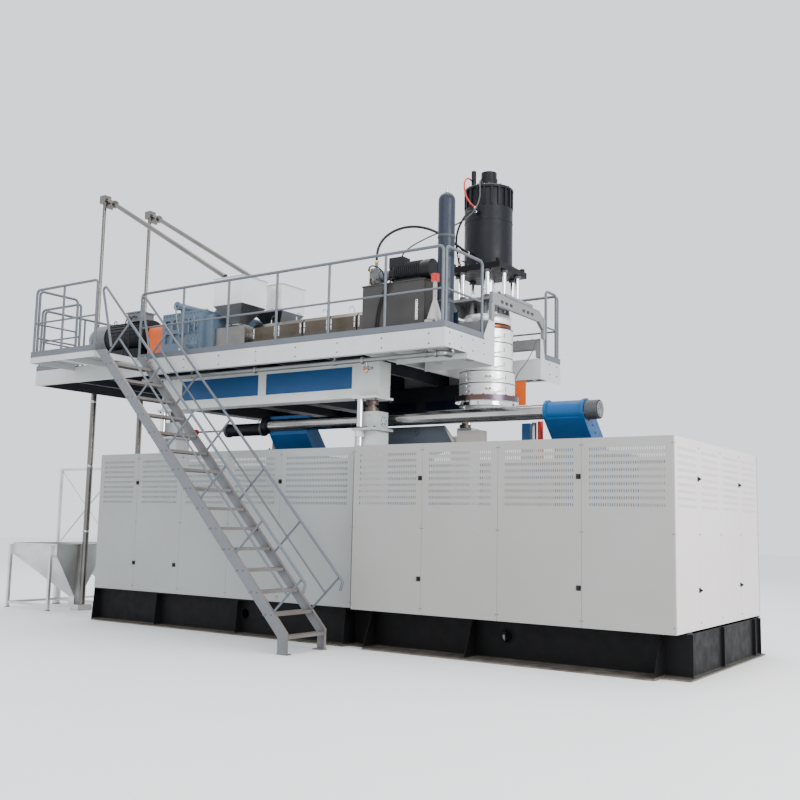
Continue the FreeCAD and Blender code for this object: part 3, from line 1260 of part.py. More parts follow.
# ---------------------------------------------------------------- hoses and cables
def hoses():
    cord("pump_hose", [(600, -1550, 5330), (600, -1550, 5440), (615, -1530, 5580),
                       (690, -1480, 5720), (830, -1390, 5830), (1010, -1270, 5880),
                       (1180, -1120, 5860), (1310, -940, 5790), (1400, -750, 5700),
                       (1443, -590, 5640), (1450, -500, 5620), (1450, -430, 5620)], 36)
    cord("cylinder_hose", [(1558, -411, 6233), (1558, -495, 6232), (1549, -575, 6205),
                           (1523, -635, 6145), (1476, -660, 6065), (1412, -645, 5980),
                           (1342, -590, 5900), (1278, -505, 5825), (1230, -415, 5750),
                           (1202, -335, 5675), (1188, -275, 5595), (1185, -250, 5511)], 30)
    cord("signal_cable", [(1574, -186, 6715), (1574, -250, 6715), (1582, -330, 6725),
                          (1605, -405, 6700), (1635, -450, 6630), (1655, -475, 6530),
                          (1660, -490, 6420), (1640, -505, 6320), (1590, -525, 6220),
                          (1500, -560, 6120), (1400, -620, 6040), (1290, -710, 5960),
                          (1190, -820, 5880), (1110, -940, 5800), (1050, -1080, 5710),
                          (1010, -1220, 5620), (990, -1340, 5530), (986, -1430, 5465),
                          (985, -1475, 5400), (985, -1480, 5331)], 22)
    cord("red_hose", [(1382, -263, 6800), (1382, -335, 6800), (1384, -415, 6775),
                      (1388, -470, 6710), (1394, -490, 6630), (1408, -495, 6545),
                      (1435, -490, 6460), (1475, -474, 6385), (1518, -448, 6330),
                      (1558, -418, 6285)], 25)


def main():
    os.makedirs("parts", exist_ok=True)
    base_frames()
    slide_rails()
    guard_frame()
    doors_and_latches()
    covers()
    jack_columns()
    jack_screws()
    lower_beam_frame()
    beam_panels()
    platform_frame()
    deck_plates()
    guard_rails()
    stair_flight()
    stair_handrails()
    water_pipe()
    extruders()
    head_body()
    heater_bands()
    mandrel()
    plunger()
    head_yoke()
    head_tie_rods()
    push_cylinder()
    platens()
    tie_bars()
    clamp_drive()
    hydraulic_unit()
    raw_material_feed()
    hoses()


main()
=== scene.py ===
import math

import bpy
import bmesh
from mathutils import Matrix, Vector


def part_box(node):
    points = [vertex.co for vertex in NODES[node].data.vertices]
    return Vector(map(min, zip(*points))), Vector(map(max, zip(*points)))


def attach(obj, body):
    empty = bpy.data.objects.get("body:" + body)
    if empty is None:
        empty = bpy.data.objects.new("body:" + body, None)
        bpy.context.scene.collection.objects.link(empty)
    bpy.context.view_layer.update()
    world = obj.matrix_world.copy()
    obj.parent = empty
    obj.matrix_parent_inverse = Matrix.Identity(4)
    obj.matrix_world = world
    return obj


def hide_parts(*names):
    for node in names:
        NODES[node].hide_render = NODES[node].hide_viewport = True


# Looks of the blow moulding machine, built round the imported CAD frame. Metres, +Z up.

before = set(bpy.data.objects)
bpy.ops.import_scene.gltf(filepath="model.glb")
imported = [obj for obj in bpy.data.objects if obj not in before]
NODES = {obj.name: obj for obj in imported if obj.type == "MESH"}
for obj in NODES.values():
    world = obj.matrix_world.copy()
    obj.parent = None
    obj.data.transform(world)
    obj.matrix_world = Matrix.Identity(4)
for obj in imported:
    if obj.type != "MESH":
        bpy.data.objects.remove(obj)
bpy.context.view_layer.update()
RIGHT, LEFT = (1, 0, 0), (-1, 0, 0)
FRONT = (0, -1, 0)
UP, DOWN = (0, 0, 1), (0, 0, -1)


# ---- camera, light, floor
CAMERA_AT = (8.6505, -12.7038, 1.6765)
CAMERA_TURN = 34.276          # degrees from +Y towards -X
CAMERA_PITCH = 7.073
CAMERA_ROLL = -1.179
CAMERA_LENS = 44.8


def make_camera():
    a, e, r = (math.radians(v) for v in (CAMERA_TURN, CAMERA_PITCH, CAMERA_ROLL))
    forward = Vector((-math.sin(a) * math.cos(e), math.cos(a) * math.cos(e), math.sin(e)))
    right = forward.cross(Vector(UP)).normalized()
    down = forward.cross(right)
    view_right = right * math.cos(r) + down * math.sin(r)
    view_down = down * math.cos(r) - right * math.sin(r)
    camera = bpy.data.objects.new("camera", bpy.data.cameras.new("camera"))
    camera.data.lens = CAMERA_LENS
    camera.data.sensor_width = 36.0
    camera.data.clip_end = 200.0
    basis = Matrix((view_right, -view_down, -forward)).transposed()
    camera.matrix_world = Matrix.Translation(CAMERA_AT) @ basis.to_4x4()
    bpy.context.scene.collection.objects.link(camera)
    bpy.context.scene.camera = camera


def area_light(name, place, aim, size, watts, colour=(1, 1, 1)):
    data = bpy.data.lights.new(name, "AREA")
    data.shape = "RECTANGLE"
    data.size, data.size_y = size
    data.energy = watts
    data.color = colour
    lamp = bpy.data.objects.new(name, data)
    lamp.location = place
    lamp.rotation_euler = (Vector(aim) - Vector(place)).to_track_quat("-Z", "Y").to_euler()
    bpy.context.scene.collection.objects.link(lamp)


def make_studio():
    world = bpy.data.worlds.new("studio")
    bpy.context.scene.world = world
    world.use_nodes = True
    background = world.node_tree.nodes["Background"]
    background.inputs["Color"].default_value = (0.93, 0.95, 1.0, 1)
    background.inputs["Strength"].default_value = 1.5
    area_light("key", (6, -17, 13), (0, 0, 2.5), (12, 8), 1000, (1, 0.985, 0.96))
    area_light("fill", (17, -6, 7), (3, 0, 2.5), (9, 8), 2700)
    area_light("top", (-1, 1, 15), (-1, 0, 3), (14, 8), 1100)
    area_light("back", (-9, 14, 9), (-2, 0, 3), (9, 6), 900)
    mesh = bpy.data.meshes.new("floor")
    span = 60.0
    mesh.from_pydata([(-span, -span, -0.002), (span, -span, -0.002), (span, span, -0.002),
                      (-span, span, -0.002)], [], [(0, 1, 2, 3)])
    floor = bpy.data.objects.new("floor", mesh)
    bpy.context.scene.collection.objects.link(floor)
    floor.data.materials.append(plain_floor())


# ---- materials
MATERIALS = {}


def new_material(name):
    material = MATERIALS[name] = bpy.data.materials.new(name)
    material.use_nodes = True
    tree = material.node_tree
    return tree, tree.nodes["Principled BSDF"]


def node(tree, kind, **inputs):
    made = tree.nodes.new(kind)
    for key, value in inputs.items():
        made.inputs[key.replace("_", " ")].default_value = value
    return made


def coords(tree, stretch=(1, 1, 1)):
    place = tree.nodes.new("ShaderNodeTexCoord")
    mapping = tree.nodes.new("ShaderNodeMapping")
    mapping.inputs["Scale"].default_value = stretch
    tree.links.new(place.outputs["Object"], mapping.inputs["Vector"])
    return mapping.outputs["Vector"]


def noise(tree, vector, scale, detail=4.0, rough=0.55):
    made = node(tree, "ShaderNodeTexNoise", Scale=scale, Detail=detail, Roughness=rough)
    tree.links.new(vector, made.inputs["Vector"])
    return made.outputs["Fac"]


def ramp(tree, fac, low, high, from_value=0.0, to_value=1.0):
    made = tree.nodes.new("ShaderNodeMapRange")
    for key, value in (("From Min", low), ("From Max", high), ("To Min", from_value),
                       ("To Max", to_value)):
        made.inputs[key].default_value = value
    tree.links.new(fac, made.inputs["Value"])
    return made.outputs["Result"]


def mix(tree, fac, a, b):
    made = tree.nodes.new("ShaderNodeMix")
    made.data_type = "RGBA"
    tree.links.new(fac, made.inputs[0])
    for socket, value in ((made.inputs[6], a), (made.inputs[7], b)):
        if isinstance(value, tuple):
            socket.default_value = value + (1,)
        else:
            tree.links.new(value, socket)
    return made.outputs[2]


def times(tree, a, b):
    made = tree.nodes.new("ShaderNodeMath")
    made.operation = "MULTIPLY"
    for socket, value in zip(made.inputs, (a, b)):
        if isinstance(value, float):
            socket.default_value = value
        else:
            tree.links.new(value, socket)
    return made.outputs["Value"]


def bump(tree, height, strength, distance, edge=0.0):
    made = node(tree, "ShaderNodeBump", Strength=strength, Distance=distance)
    tree.links.new(height, made.inputs["Height"])
    if edge:
        rounded = tree.nodes.new("ShaderNodeBevel")
        rounded.samples = 4
        rounded.inputs["Radius"].default_value = edge
        tree.links.new(rounded.outputs["Normal"], made.inputs["Normal"])
    return made.outputs["Normal"]


def height_fade(tree, low, high):
    """1 at world height low, falling to 0 at height high."""
    place = tree.nodes.new("ShaderNodeTexCoord")
    split = tree.nodes.new("ShaderNodeSeparateXYZ")
    tree.links.new(place.outputs["Object"], split.inputs["Vector"])
    return ramp(tree, split.outputs["Z"], low, high, 1.0, 0.0)


def paint(name, colour, rough=0.38, grime=0.12, dust=None, chips=None, edge=0.003, mottle=1.3,
          shine=0.5):
    """Sprayed enamel: faint mottling, orange peel, grime and, if asked, chipped rust."""
    tree, shader = new_material(name)
    vector = coords(tree)
    dark = tuple(c * (1 - grime) * k for c, k in zip(colour, (0.98, 0.97, 0.94)))
    patches = ramp(tree, noise(tree, vector, mottle, 6), 0.42, 0.68)
    base = mix(tree, patches, colour, dark)
    streak_vector = coords(tree, (9, 9, 0.7))
    streaks = ramp(tree, noise(tree, streak_vector, 1.4, 3), 0.6, 0.85, 0.0, 0.5)
    base = mix(tree, streaks, base, tuple(c * (1 - grime * 1.6) for c in colour))
    if dust:
        low, high = dust
        amount = times(tree, height_fade(tree, low, high), noise(tree, vector, 5, 5))
        base = mix(tree, amount, base, (0.3, 0.27, 0.23))
    if chips:
        chip_colour, share = chips
        spots = ramp(tree, noise(tree, vector, 26, 8, 0.7), 1 - share, 1 - share + 0.03)
        base = mix(tree, spots, base, chip_colour)
    tree.links.new(base, shader.inputs["Base Color"])
    gloss = ramp(tree, noise(tree, vector, 8, 3), 0.3, 0.7, rough - 0.06, rough + 0.1)
    tree.links.new(gloss, shader.inputs["Roughness"])
    normal = bump(tree, noise(tree, vector, 420, 2), 0.08, 0.0006, edge)
    tree.links.new(normal, shader.inputs["Normal"])
    shader.inputs["Specular IOR Level"].default_value = shine


def metal(name, colour, rough=0.3, grain=(1, 1, 1), grain_scale=90, tint=None, edge=0.002,
          stain=0.2, bare=1.0):
    """Bare metal with a grain along the unstretched axis and soft stains."""
    tree, shader = new_material(name)
    vector = coords(tree)
    shader.inputs["Metallic"].default_value = bare
    darker = tint or tuple(c * (1 - stain) for c in colour)
    patches = ramp(tree, noise(tree, vector, 2.4, 6), 0.4, 0.66)
    base = mix(tree, patches, colour, darker)
    lines = noise(tree, coords(tree, grain), grain_scale, 3)
    fine = ramp(tree, lines, 0.35, 0.7)
    base = mix(tree, times(tree, fine, 0.35), base, tuple(c * 0.72 for c in colour))
    tree.links.new(base, shader.inputs["Base Color"])
    gloss = ramp(tree, lines, 0.25, 0.75, max(rough - 0.08, 0.03), rough + 0.12)
    tree.links.new(gloss, shader.inputs["Roughness"])
    tree.links.new(bump(tree, lines, 0.12, 0.0005, edge), shader.inputs["Normal"])


def plain_floor():
    tree, shader = new_material("floor_pale")
    vector = coords(tree)
    base = mix(tree, noise(tree, vector, 0.8, 5), (0.86, 0.87, 0.88), (0.92, 0.925, 0.93))
    tree.links.new(base, shader.inputs["Base Color"])
    shader.inputs["Roughness"].default_value = 0.55
    return MATERIALS["floor_pale"]


def make_materials():
    rust = (0.2, 0.09, 0.04)
    # painted shade: front and end doors share one guard paint; the front copy is made much darker
    # than the end copy, standing in for the shade on the front
    paint("guard_front_painted_shade", (0.3, 0.297, 0.287), 0.45, 0.04, mottle=0.5)
    paint("guard_end", (0.67, 0.622, 0.618), 0.45, 0.04, mottle=0.5)
    paint("cover", (0.31, 0.325, 0.323), 0.48, 0.05, mottle=0.5)
    paint("base_black", (0.0035, 0.0035, 0.004), 0.55, 0.1, dust=(0.0, 0.04), chips=(rust, 0.25),
          shine=0.15)
    paint("frame_black", (0.006, 0.006, 0.0065), 0.5, shine=0.25)
    metal("rail_steel", (0.3, 0.3, 0.3), 0.35, (1, 30, 30))
    paint("latch", (0.006, 0.006, 0.007), 0.35, edge=0.001, shine=0.35)
    paint("white", (0.6, 0.63, 0.615), 0.42, 0.1)
    paint("fascia", (0.53, 0.55, 0.55), 0.45, 0.1, chips=((0.3, 0.17, 0.1), 0.25))
    paint("jack_grey", (0.42, 0.45, 0.45), 0.42, 0.2)
    metal("screw_dark", (0.14, 0.11, 0.1), 0.42, (1, 1, 14), tint=(0.09, 0.06, 0.045))
    metal("chrome", (0.78, 0.78, 0.78), 0.1, (1, 1, 20), stain=0.1)
    paint("blue_panel", (0.003, 0.06, 0.18), 0.4, 0.15, shine=0.35)
    # painted shade: a darker copy of the blue panel paint for the back beam's panel in shade under
    # the platform
    paint("blue_panel_painted_shade", (0.003, 0.008, 0.03), 0.45, 0.2, shine=0.25)
    # painted shade: a dark copy of the frame and deck paint for undersides and faces between beams,
    # standing in for their shade
    paint("painted_shade_under", (0.03, 0.033, 0.04), 0.55, 0.3, shine=0.25)
    paint("deck", (0.27, 0.295, 0.305), 0.55, 0.25)
    paint("rail_grey", (0.105, 0.12, 0.14), 0.42, 0.12, chips=((0.2, 0.11, 0.07), 0.24))
    paint("stair_grey", (0.14, 0.148, 0.16), 0.42, 0.15, chips=((0.2, 0.12, 0.08), 0.27))
    paint("tread", (0.175, 0.158, 0.148), 0.5, 0.3, chips=((0.25, 0.15, 0.1), 0.36))
    metal("galvanised", (0.26, 0.275, 0.275), 0.38, (8, 1, 1), 30)
    paint("motor_black", (0.006, 0.007, 0.009), 0.42, 0.1, shine=0.3)
    paint("motor_grey", (0.14, 0.15, 0.165), 0.42, 0.15)
    paint("gearbox", (0.105, 0.155, 0.215), 0.4, 0.15)
    metal("stainless", (0.72, 0.72, 0.71), 0.32, (1, 1, 25))
    metal("hopper", (0.93, 0.93, 0.92), 0.3, (1, 1, 25), stain=0.12, bare=0.8)
    metal("hopper_dark", (0.26, 0.27, 0.28), 0.3, (1, 1, 25))
    metal("tube_steel", (0.21, 0.2, 0.182), 0.24, (1, 1, 10))
    metal("polished", (0.115, 0.104, 0.09), 0.2, (25, 1, 1), tint=(0.1, 0.075, 0.05))
    metal("barrel", (0.3, 0.285, 0.275), 0.35, (20, 1, 1))
    paint("orange", (0.8, 0.13, 0.012), 0.38, 0.15)
    metal("heater", (0.96, 0.955, 0.945), 0.38, (1, 1, 1), 14, stain=0.08, bare=0.75)
    paint("seam", (0.004, 0.004, 0.004), 0.6, edge=0.0, shine=0.15)
    metal("die_steel", (0.42, 0.42, 0.42), 0.27, (1, 1, 30))
    metal("tempered", (0.11, 0.085, 0.115), 0.28, (1, 1, 12), tint=(0.2, 0.11, 0.06))
    metal("copper", (0.2, 0.075, 0.045), 0.32, (1, 1, 20))
    metal("brass", (0.7, 0.47, 0.18), 0.27)
    paint("yoke", (0.2, 0.21, 0.215), 0.42, 0.15)
    paint("plate_dark", (0.06, 0.065, 0.07), 0.4, 0.2, shine=0.35)
    paint("plate_black", (0.005, 0.0055, 0.007), 0.45, 0.2, shine=0.15)
    paint("cylinder", (0.0035, 0.0045, 0.0075), 0.42, 0.1, shine=0.22)
    paint("tank", (0.042, 0.041, 0.038), 0.42, 0.15, shine=0.4)
    paint("slate", (0.011, 0.018, 0.034), 0.4, 0.1, shine=0.35)
    paint("platen_blue", (0.002, 0.078, 0.235), 0.38, 0.15, shine=0.35)
    paint("arm_slate", (0.05, 0.065, 0.085), 0.42, 0.2, shine=0.35)
    paint("arm_pale", (0.38, 0.36, 0.32), 0.45, 0.2)
    metal("bar", (0.5, 0.49, 0.48), 0.18, (12, 1, 1), stain=0.3)
    paint("rubber", (0.006, 0.006, 0.0065), 0.5, edge=0.0, shine=0.3)
    paint("cable", (0.055, 0.056, 0.058), 0.5, edge=0.0)
    paint("red", (0.55, 0.02, 0.01), 0.4, edge=0.0)
    paint("rusty", (0.2, 0.1, 0.05), 0.6, 0.3, chips=((0.36, 0.32, 0.3), 0.3))
    # painted highlight: a lighter copy of the platen blue for lit edge faces; no face in this
    # script uses it
    paint("platen_blue_painted_highlight", (0.02, 0.17, 0.4), 0.38, 0.1)
    paint("white_plastic", (0.4, 0.39, 0.37), 0.38)


def cover_node(name, default, rules=()):
    """Give a CAD node its materials; each rule is (material key, test of a face centre)."""
    mesh = NODES[name].data
    mesh.materials.clear()
    keys = [default] + [key for key, _ in rules]
    for key in keys:
        mesh.materials.append(MATERIALS[key])
    for face in mesh.polygons:
        face.material_index = 0
        for i, (_, test) in enumerate(rules, 1):
            if test(face.center):
                face.material_index = i
                break


def cover_nodes():
    plain = {
        "slide_rails": "rail_steel", "guard_frame": "frame_black", "guard_rails": "rail_grey",
        "stair_handrails": "rail_grey", "water_pipe": "galvanised", "gearboxes": "gearbox",
        "heater_covers": "polished", "extruder_barrels": "barrel", "extruder_screw_1": "barrel",
        "extruder_screw_2": "barrel", "die_mandrel": "die_steel", "push_plunger": "chrome",
        "head_yoke": "yoke", "gas_accumulator": "slate", "feed_tubes": "tube_steel",
        "clamp_rod": "bar", "pump_hose": "rubber", "cylinder_hose": "rubber",
        "signal_cable": "cable", "red_hose": "red", "base_frames": "base_black",
        "floor_hoppers": "stainless", "orange_guards": "orange", "push_cylinder": "cylinder",
        "rear_platen": "platen_blue",
    }
    for name, key in plain.items():
        cover_node(name, key)
    # the front doors get the darker copy of the guard paint, a painted shade, and the end doors the
    # plain copy
    for name in NODES:
        if name.startswith("front_door"):
            cover_node(name, "guard_front_painted_shade")
        elif name.startswith("end_door"):
            cover_node(name, "guard_end")
        elif "latch" in name:
            cover_node(name, "latch")
    cover_node("enclosure_covers", "cover", [("latch", lambda c: c.y < -1.6405)])
    cover_node("jack_columns", "white", [("jack_grey", lambda c: c.z > 2.955)])
    cover_node("jack_screws", "screw_dark", [("white", lambda c: c.z > 3.407),
                                             ("chrome", lambda c: abs(c.y) > 1.45)])
    # painted shade: the back beam's panel gets a darker copy of the blue panel paint
    cover_node("beam_panels", "blue_panel", [("blue_panel_painted_shade", lambda c: 1.15 < c.y < 1.3)])
    cover_node("stair_flight", "stair_grey", [("tread", lambda c: -2.874 < c.y < -2.079)])
    cover_node("drive_motors", "motor_black", [
        ("motor_grey", lambda c: c.x < -5.435 and c.z > 4.45), ("motor_grey", lambda c: c.z > 5.1),
        ("yoke", lambda c: c.z < 4.37)])
    # painted shade: the inner faces and cross beams of the lower beam frame, the joists under the
    # deck and the deck's underside get a dark copy of their paint for their shade
    cover_node("lower_beam_frame", "white", [("painted_shade_under", lambda c: -1.165 < c.y < 1.165)])
    cover_node("platform_frame", "fascia", [("painted_shade_under", lambda c: abs(c.y) < 1.15
                                             and c.x < 0.58 and c.z < 4.19)])
    cover_node("deck_plates", "deck", [("painted_shade_under", lambda c: c.z < 4.1955)])
    cover_node("material_hoppers", "hopper", [("hopper_dark", lambda c: c.z < 5.1)])
    cover_node("middle_platen", "platen_blue", [
        ("arm_pale", lambda c: c.x > 1.39), ("arm_slate", lambda c: c.x > 0.14 and c.y < -0.8)])
    cover_node("head_body", "die_steel", [
        ("chrome", lambda c: c.z < 3.451), ("tempered", lambda c: c.z < 3.535),
        ("heater", lambda c: 3.9 < c.z < 4.7 and math.hypot(c.x - HEAD_X, c.y) > 0.3)])
    cover_node("heater_bands", "heater", [
        ("brass", lambda c: math.hypot(c.x - HEAD_X, c.y) > (0.376 if c.z > 3.885 else 0.41))])
    cover_node("head_tie_rods", "yoke", [
        ("chrome", lambda c: 4.952 < c.z < 5.359), ("plate_black", lambda c: c.z > 5.355)])
    cover_node("clamp_cylinder", "cylinder", [
        ("red", lambda c: c.x < -3.33 and c.z > 2.9),
        ("bar", lambda c: c.x < -2.7005 and c.z > 2.9)])
    cover_node("right_platen", "platen_blue", [
        ("bar", lambda c: c.z > 2.5005 and abs(c.x - 2.61) < 0.036 and abs(c.y + 0.6) < 0.036),
        ("red", lambda c: c.z > 2.5005 and abs(c.x - 2.7) < 0.04 and abs(c.y + 0.6) < 0.04)])
    cover_node("tie_bars", "bar", [("plate_black", lambda c: c.x > 3.541)])
    cover_node("oil_tank", "tank", [
        ("white_plastic", lambda c: c.x > 1.6 and 4.25 < c.z < 4.846),
        ("red", lambda c: c.x > 1.6 and c.z > 4.845)])
    cover_node("pump_motor", "motor_black", [("motor_grey", lambda c: c.x < 0.88)])


# ---- mesh tools
def direction_frame(axis):
    """Two unit vectors square to an axis, the first as level as can be."""
    axis = Vector(axis).normalized()
    guide = Vector(UP) if abs(axis.z) < 0.9 else Vector(RIGHT)
    first = guide.cross(axis).normalized()
    return first, axis.cross(first), axis


PIECES = []                     # in the order begun; make_details finishes them


class Piece:
    """One visual piece in the making; it rides on a body and may have several materials."""

    def __init__(self, name, body, *materials):
        self.name = name
        self.body = body
        self.materials = materials
        self.bm = bmesh.new()
        PIECES.append(self)

    def lathe(self, at, axis, profile, sides=20, slot=0, turn=0.0):
        """Turn (radius, height) pairs about an axis; the ends close where their radius is 0."""
        u, v, w = direction_frame(axis)
        rings = []
        for radius, height in profile:
            ring = []
            for i in range(1 if radius == 0 else sides):
                a = 2 * math.pi * i / sides + turn
                out = u * math.cos(a) + v * math.sin(a)
                ring.append(self.bm.verts.new(Vector(at) + w * height + out * radius))
            rings.append(ring)
        for low, high in zip(rings, rings[1:]):
            for i in range(sides):
                j = (i + 1) % sides
                corners = [low[i % len(low)], low[j % len(low)], high[j % len(high)],
                           high[i % len(high)]]
                unique = list(dict.fromkeys(corners))
                if len(unique) > 2:
                    face = self.bm.faces.new(unique)
                    face.material_index = slot
                    face.smooth = sides > 8

    def bar(self, start, end, radius, slot=0, sides=16, edge=0.002):
        length = (Vector(end) - Vector(start)).length
        profile = [(0, 0), (radius - edge, 0), (radius, edge), (radius, length - edge),
                   (radius - edge, length), (0, length)]
        self.lathe(start, Vector(end) - Vector(start), profile, sides, slot)

    def hexagon(self, at, axis, radius, height, slot=0, stud=True):
        """Hexagon head or nut with a chamfered top, a washer under it and a stud end."""
        self.lathe(at, axis, [(0, 0), (radius * 1.25, 0), (radius * 1.25, height * 0.15),
                              (0, height * 0.15)], 16, slot)
        self.lathe(at, axis, [(radius, height * 0.15), (radius, height * 0.85),
                              (radius * 0.85, height), (0, height)], 6, slot)
        if stud:
            self.lathe(at, axis, [(radius * 0.5, height), (radius * 0.5, height * 1.35),
                                  (radius * 0.4, height * 1.45), (0, height * 1.45)], 10, slot)

    def screw(self, at, axis, radius, height, slot=0):
        """Hexagon head with no stud end."""
        self.hexagon(at, axis, radius, height, slot, stud=False)

    def bolt_grid(self, xs, ys, z, radius, height, slot=0, stud=True):
        """Upright hexagons at every crossing of the xs and ys."""
        for x in xs:
            for y in ys:
                self.hexagon((x, y, z), UP, radius, height, slot, stud)

    def block(self, low, high, edge=0.002, slot=0):
        """Box with chamfered edges."""
        size = Vector(high) - Vector(low)
        place = Matrix.Translation((Vector(high) + Vector(low)) / 2) @ Matrix.Diagonal(
            size.to_4d())
        made = bmesh.ops.create_cube(self.bm, size=1.0, matrix=place)
        edges = list(dict.fromkeys(e for vert in made["verts"] for e in vert.link_edges))
        bevelled = bmesh.ops.bevel(self.bm, geom=edges, offset=min(edge, min(size) * 0.3),
                                   segments=2, affect="EDGES", profile=0.6)
        for face in bevelled["faces"]:
            face.material_index = slot
        for vert in bevelled["verts"]:
            for face in vert.link_faces:
                face.material_index = slot

    def wire(self, points, radius, slot=0, sides=8):
        """Round wire or pipe along a smooth line through the points."""
        steps = 6
        pts = [Vector(p) for p in points]
        ends = [pts[0] * 2 - pts[1]] + pts + [pts[-1] * 2 - pts[-2]]
        line = []
        for a, b, c, d in zip(ends, ends[1:], ends[2:], ends[3:]):
            for k in range(steps):
                t = k / steps
                line.append(0.5 * (2 * b + (c - a) * t + (2 * a - 5 * b + 4 * c - d) * t * t
                                   + (3 * b - a - 3 * c + d) * t ** 3))
        line.append(pts[-1])
        rings = []
        side = direction_frame(line[1] - line[0])[0]
        for i, p in enumerate(line):
            ahead = (line[min(i + 1, len(line) - 1)] - line[max(i - 1, 0)]).normalized()
            side = (side - ahead * side.dot(ahead)).normalized()
            other = ahead.cross(side)
            rings.append([self.bm.verts.new(
                p + side * (radius * math.cos(2 * math.pi * k / sides))
                + other * (radius * math.sin(2 * math.pi * k / sides))) for k in range(sides)])
        for low, high in zip(rings, rings[1:]):
            for k in range(sides):
                j = (k + 1) % sides
                face = self.bm.faces.new((low[k], low[j], high[j], high[k]))
                face.material_index = slot
                face.smooth = True
        for ring in (rings[0][::-1], rings[-1]):
            self.bm.faces.new(ring).material_index = slot

    def done(self):
        bmesh.ops.recalc_face_normals(self.bm, faces=self.bm.faces)
        mesh = bpy.data.meshes.new(self.name)
        self.bm.to_mesh(mesh)
        self.bm.free()
        for key in self.materials:
            mesh.materials.append(MATERIALS[key])
        made = bpy.data.objects.new(self.name, mesh)
        bpy.context.scene.collection.objects.link(made)
        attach(made, self.body)


def around(count, radius, centre=(0, 0), start=0.0):
    """Points evenly round a circle, as (x, y, angle)."""
    for i in range(count):
        a = start + 2 * math.pi * i / count
        yield centre[0] + radius * math.cos(a), centre[1] + radius * math.sin(a), a


def collar(inner, outer, rim, cut, top):
    """Profile of a ring whose outer edge is cut back to `cut` between heights rim and top."""
    return [(inner, 0), (outer, 0), (outer, rim), (cut, top), (inner, top), (inner, 0)]


def hoop(inner, outer, height):
    """Profile of a plain square-edged ring."""
    return [(inner, 0), (outer, 0), (outer, height), (inner, height), (inner, 0)]


def stub(radius, step, neck, neck_at, top):
    """Profile of a closed foot of one radius that narrows to a neck."""
    return [(0, 0), (radius, 0), (radius, step), (neck, neck_at), (neck, top), (0, top)]


# ---- cords
def cord_curve(node_name, points, diameter, material):
    curve = bpy.data.curves.new(node_name + "_run", "CURVE")
    curve.dimensions = "3D"
    spline = curve.splines.new("NURBS")
    spline.points.add(len(points) - 1)
    for target, (x, y, z) in zip(spline.points, points):
        target.co = (x / 1000, y / 1000, z / 1000, 1)
    spline.order_u = 3
    spline.use_endpoint_u = True
    spline.resolution_u = 8
    curve.bevel_depth = diameter / 2
    curve.bevel_resolution = 5
    curve.use_fill_caps = True
    made = bpy.data.objects.new(node_name + "_run", curve)
    bpy.context.scene.collection.objects.link(made)
    curve.materials.append(MATERIALS[material])
    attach(made, "platform")
    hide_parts(node_name)


def make_cords():
    """Hoses and the cable of the head; control points in millimetres."""
    cord_curve("pump_hose", [
        (600, -1550, 5330), (600, -1550, 5440), (615, -1530, 5580), (690, -1480, 5720),
        (830, -1390, 5830), (1010, -1270, 5880), (1180, -1120, 5860), (1310, -940, 5790),
        (1400, -750, 5700), (1443, -590, 5640), (1450, -500, 5620), (1450, -430, 5620)],
        0.036, "rubber")
    cord_curve("cylinder_hose", [
        (1558, -411, 6233), (1558, -495, 6232), (1549, -575, 6205), (1523, -635, 6145),
        (1476, -660, 6065), (1412, -645, 5980), (1342, -590, 5900), (1278, -505, 5825),
        (1230, -415, 5750), (1202, -335, 5675), (1188, -275, 5595), (1185, -250, 5511)],
        0.03, "rubber")
    cord_curve("signal_cable", [
        (1574, -186, 6715), (1574, -250, 6715), (1582, -330, 6725), (1605, -405, 6700),
        (1635, -450, 6630), (1655, -475, 6530), (1660, -490, 6420), (1640, -505, 6320),
        (1590, -525, 6220), (1500, -560, 6120), (1400, -620, 6040), (1290, -710, 5960),
        (1190, -820, 5880), (1110, -940, 5800), (1050, -1080, 5710), (1010, -1220, 5620),
        (990, -1340, 5530), (986, -1430, 5465), (985, -1475, 5400), (985, -1480, 5331)],
        0.022, "cable")
    cord_curve("red_hose", [
        (1382, -263, 6800), (1382, -335, 6800), (1384, -415, 6775), (1388, -470, 6710),
        (1394, -490, 6630), (1408, -495, 6545), (1435, -490, 6460), (1475, -474, 6385),
        (1518, -448, 6330), (1558, -418, 6285)],
        0.025, "red")


# ---- guards and base
LATCH_Z = (0.974, 2.270)
SQUARE = math.pi / 4           # turns a four-sided lathe flat to the axes


def screw_places(low, high, inset, rows):
    for z in rows:
        for side in (low + inset, high - inset):
            yield side, z


def leaf_screws():
    """Small domed screws near the corners of every door and cover."""
    rows = (0.6, 1.62, 2.64)
    inset = 0.014
    dome = [(0.0, 0.0), (0.0065, 0.0), (0.0065, 0.002), (0.004, 0.0045), (0, 0.005)]
    for number in range(1, 5):
        low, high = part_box("front_door_%d" % number)
        piece = Piece("front_door_%d_screws" % number, "front_door_%d" % number, "latch")
        for x, z in screw_places(low[0], high[0], inset, rows):
            piece.lathe((x, low[1], z), FRONT, dome, 12)
        low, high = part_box("end_door_%d" % number)
        piece = Piece("end_door_%d_screws" % number, "end_door_%d" % number, "latch")
        for y, z in screw_places(low[1], high[1], inset, rows):
            piece.lathe((high[0], y, z), RIGHT, dome, 12)
    seams = (-4.955, -4.025, -3.005, -1.985, -0.965, 0.355)
    piece = Piece("cover_screws", "base", "latch")
    for a, b in zip(seams, seams[1:]):
        for x, z in screw_places(a, b - 0.003, inset, rows):
            piece.lathe((x, -1.64, z), FRONT, dome, 12)
            piece.lathe((x, 1.67, z), (0, 1, 0), dome, 12)


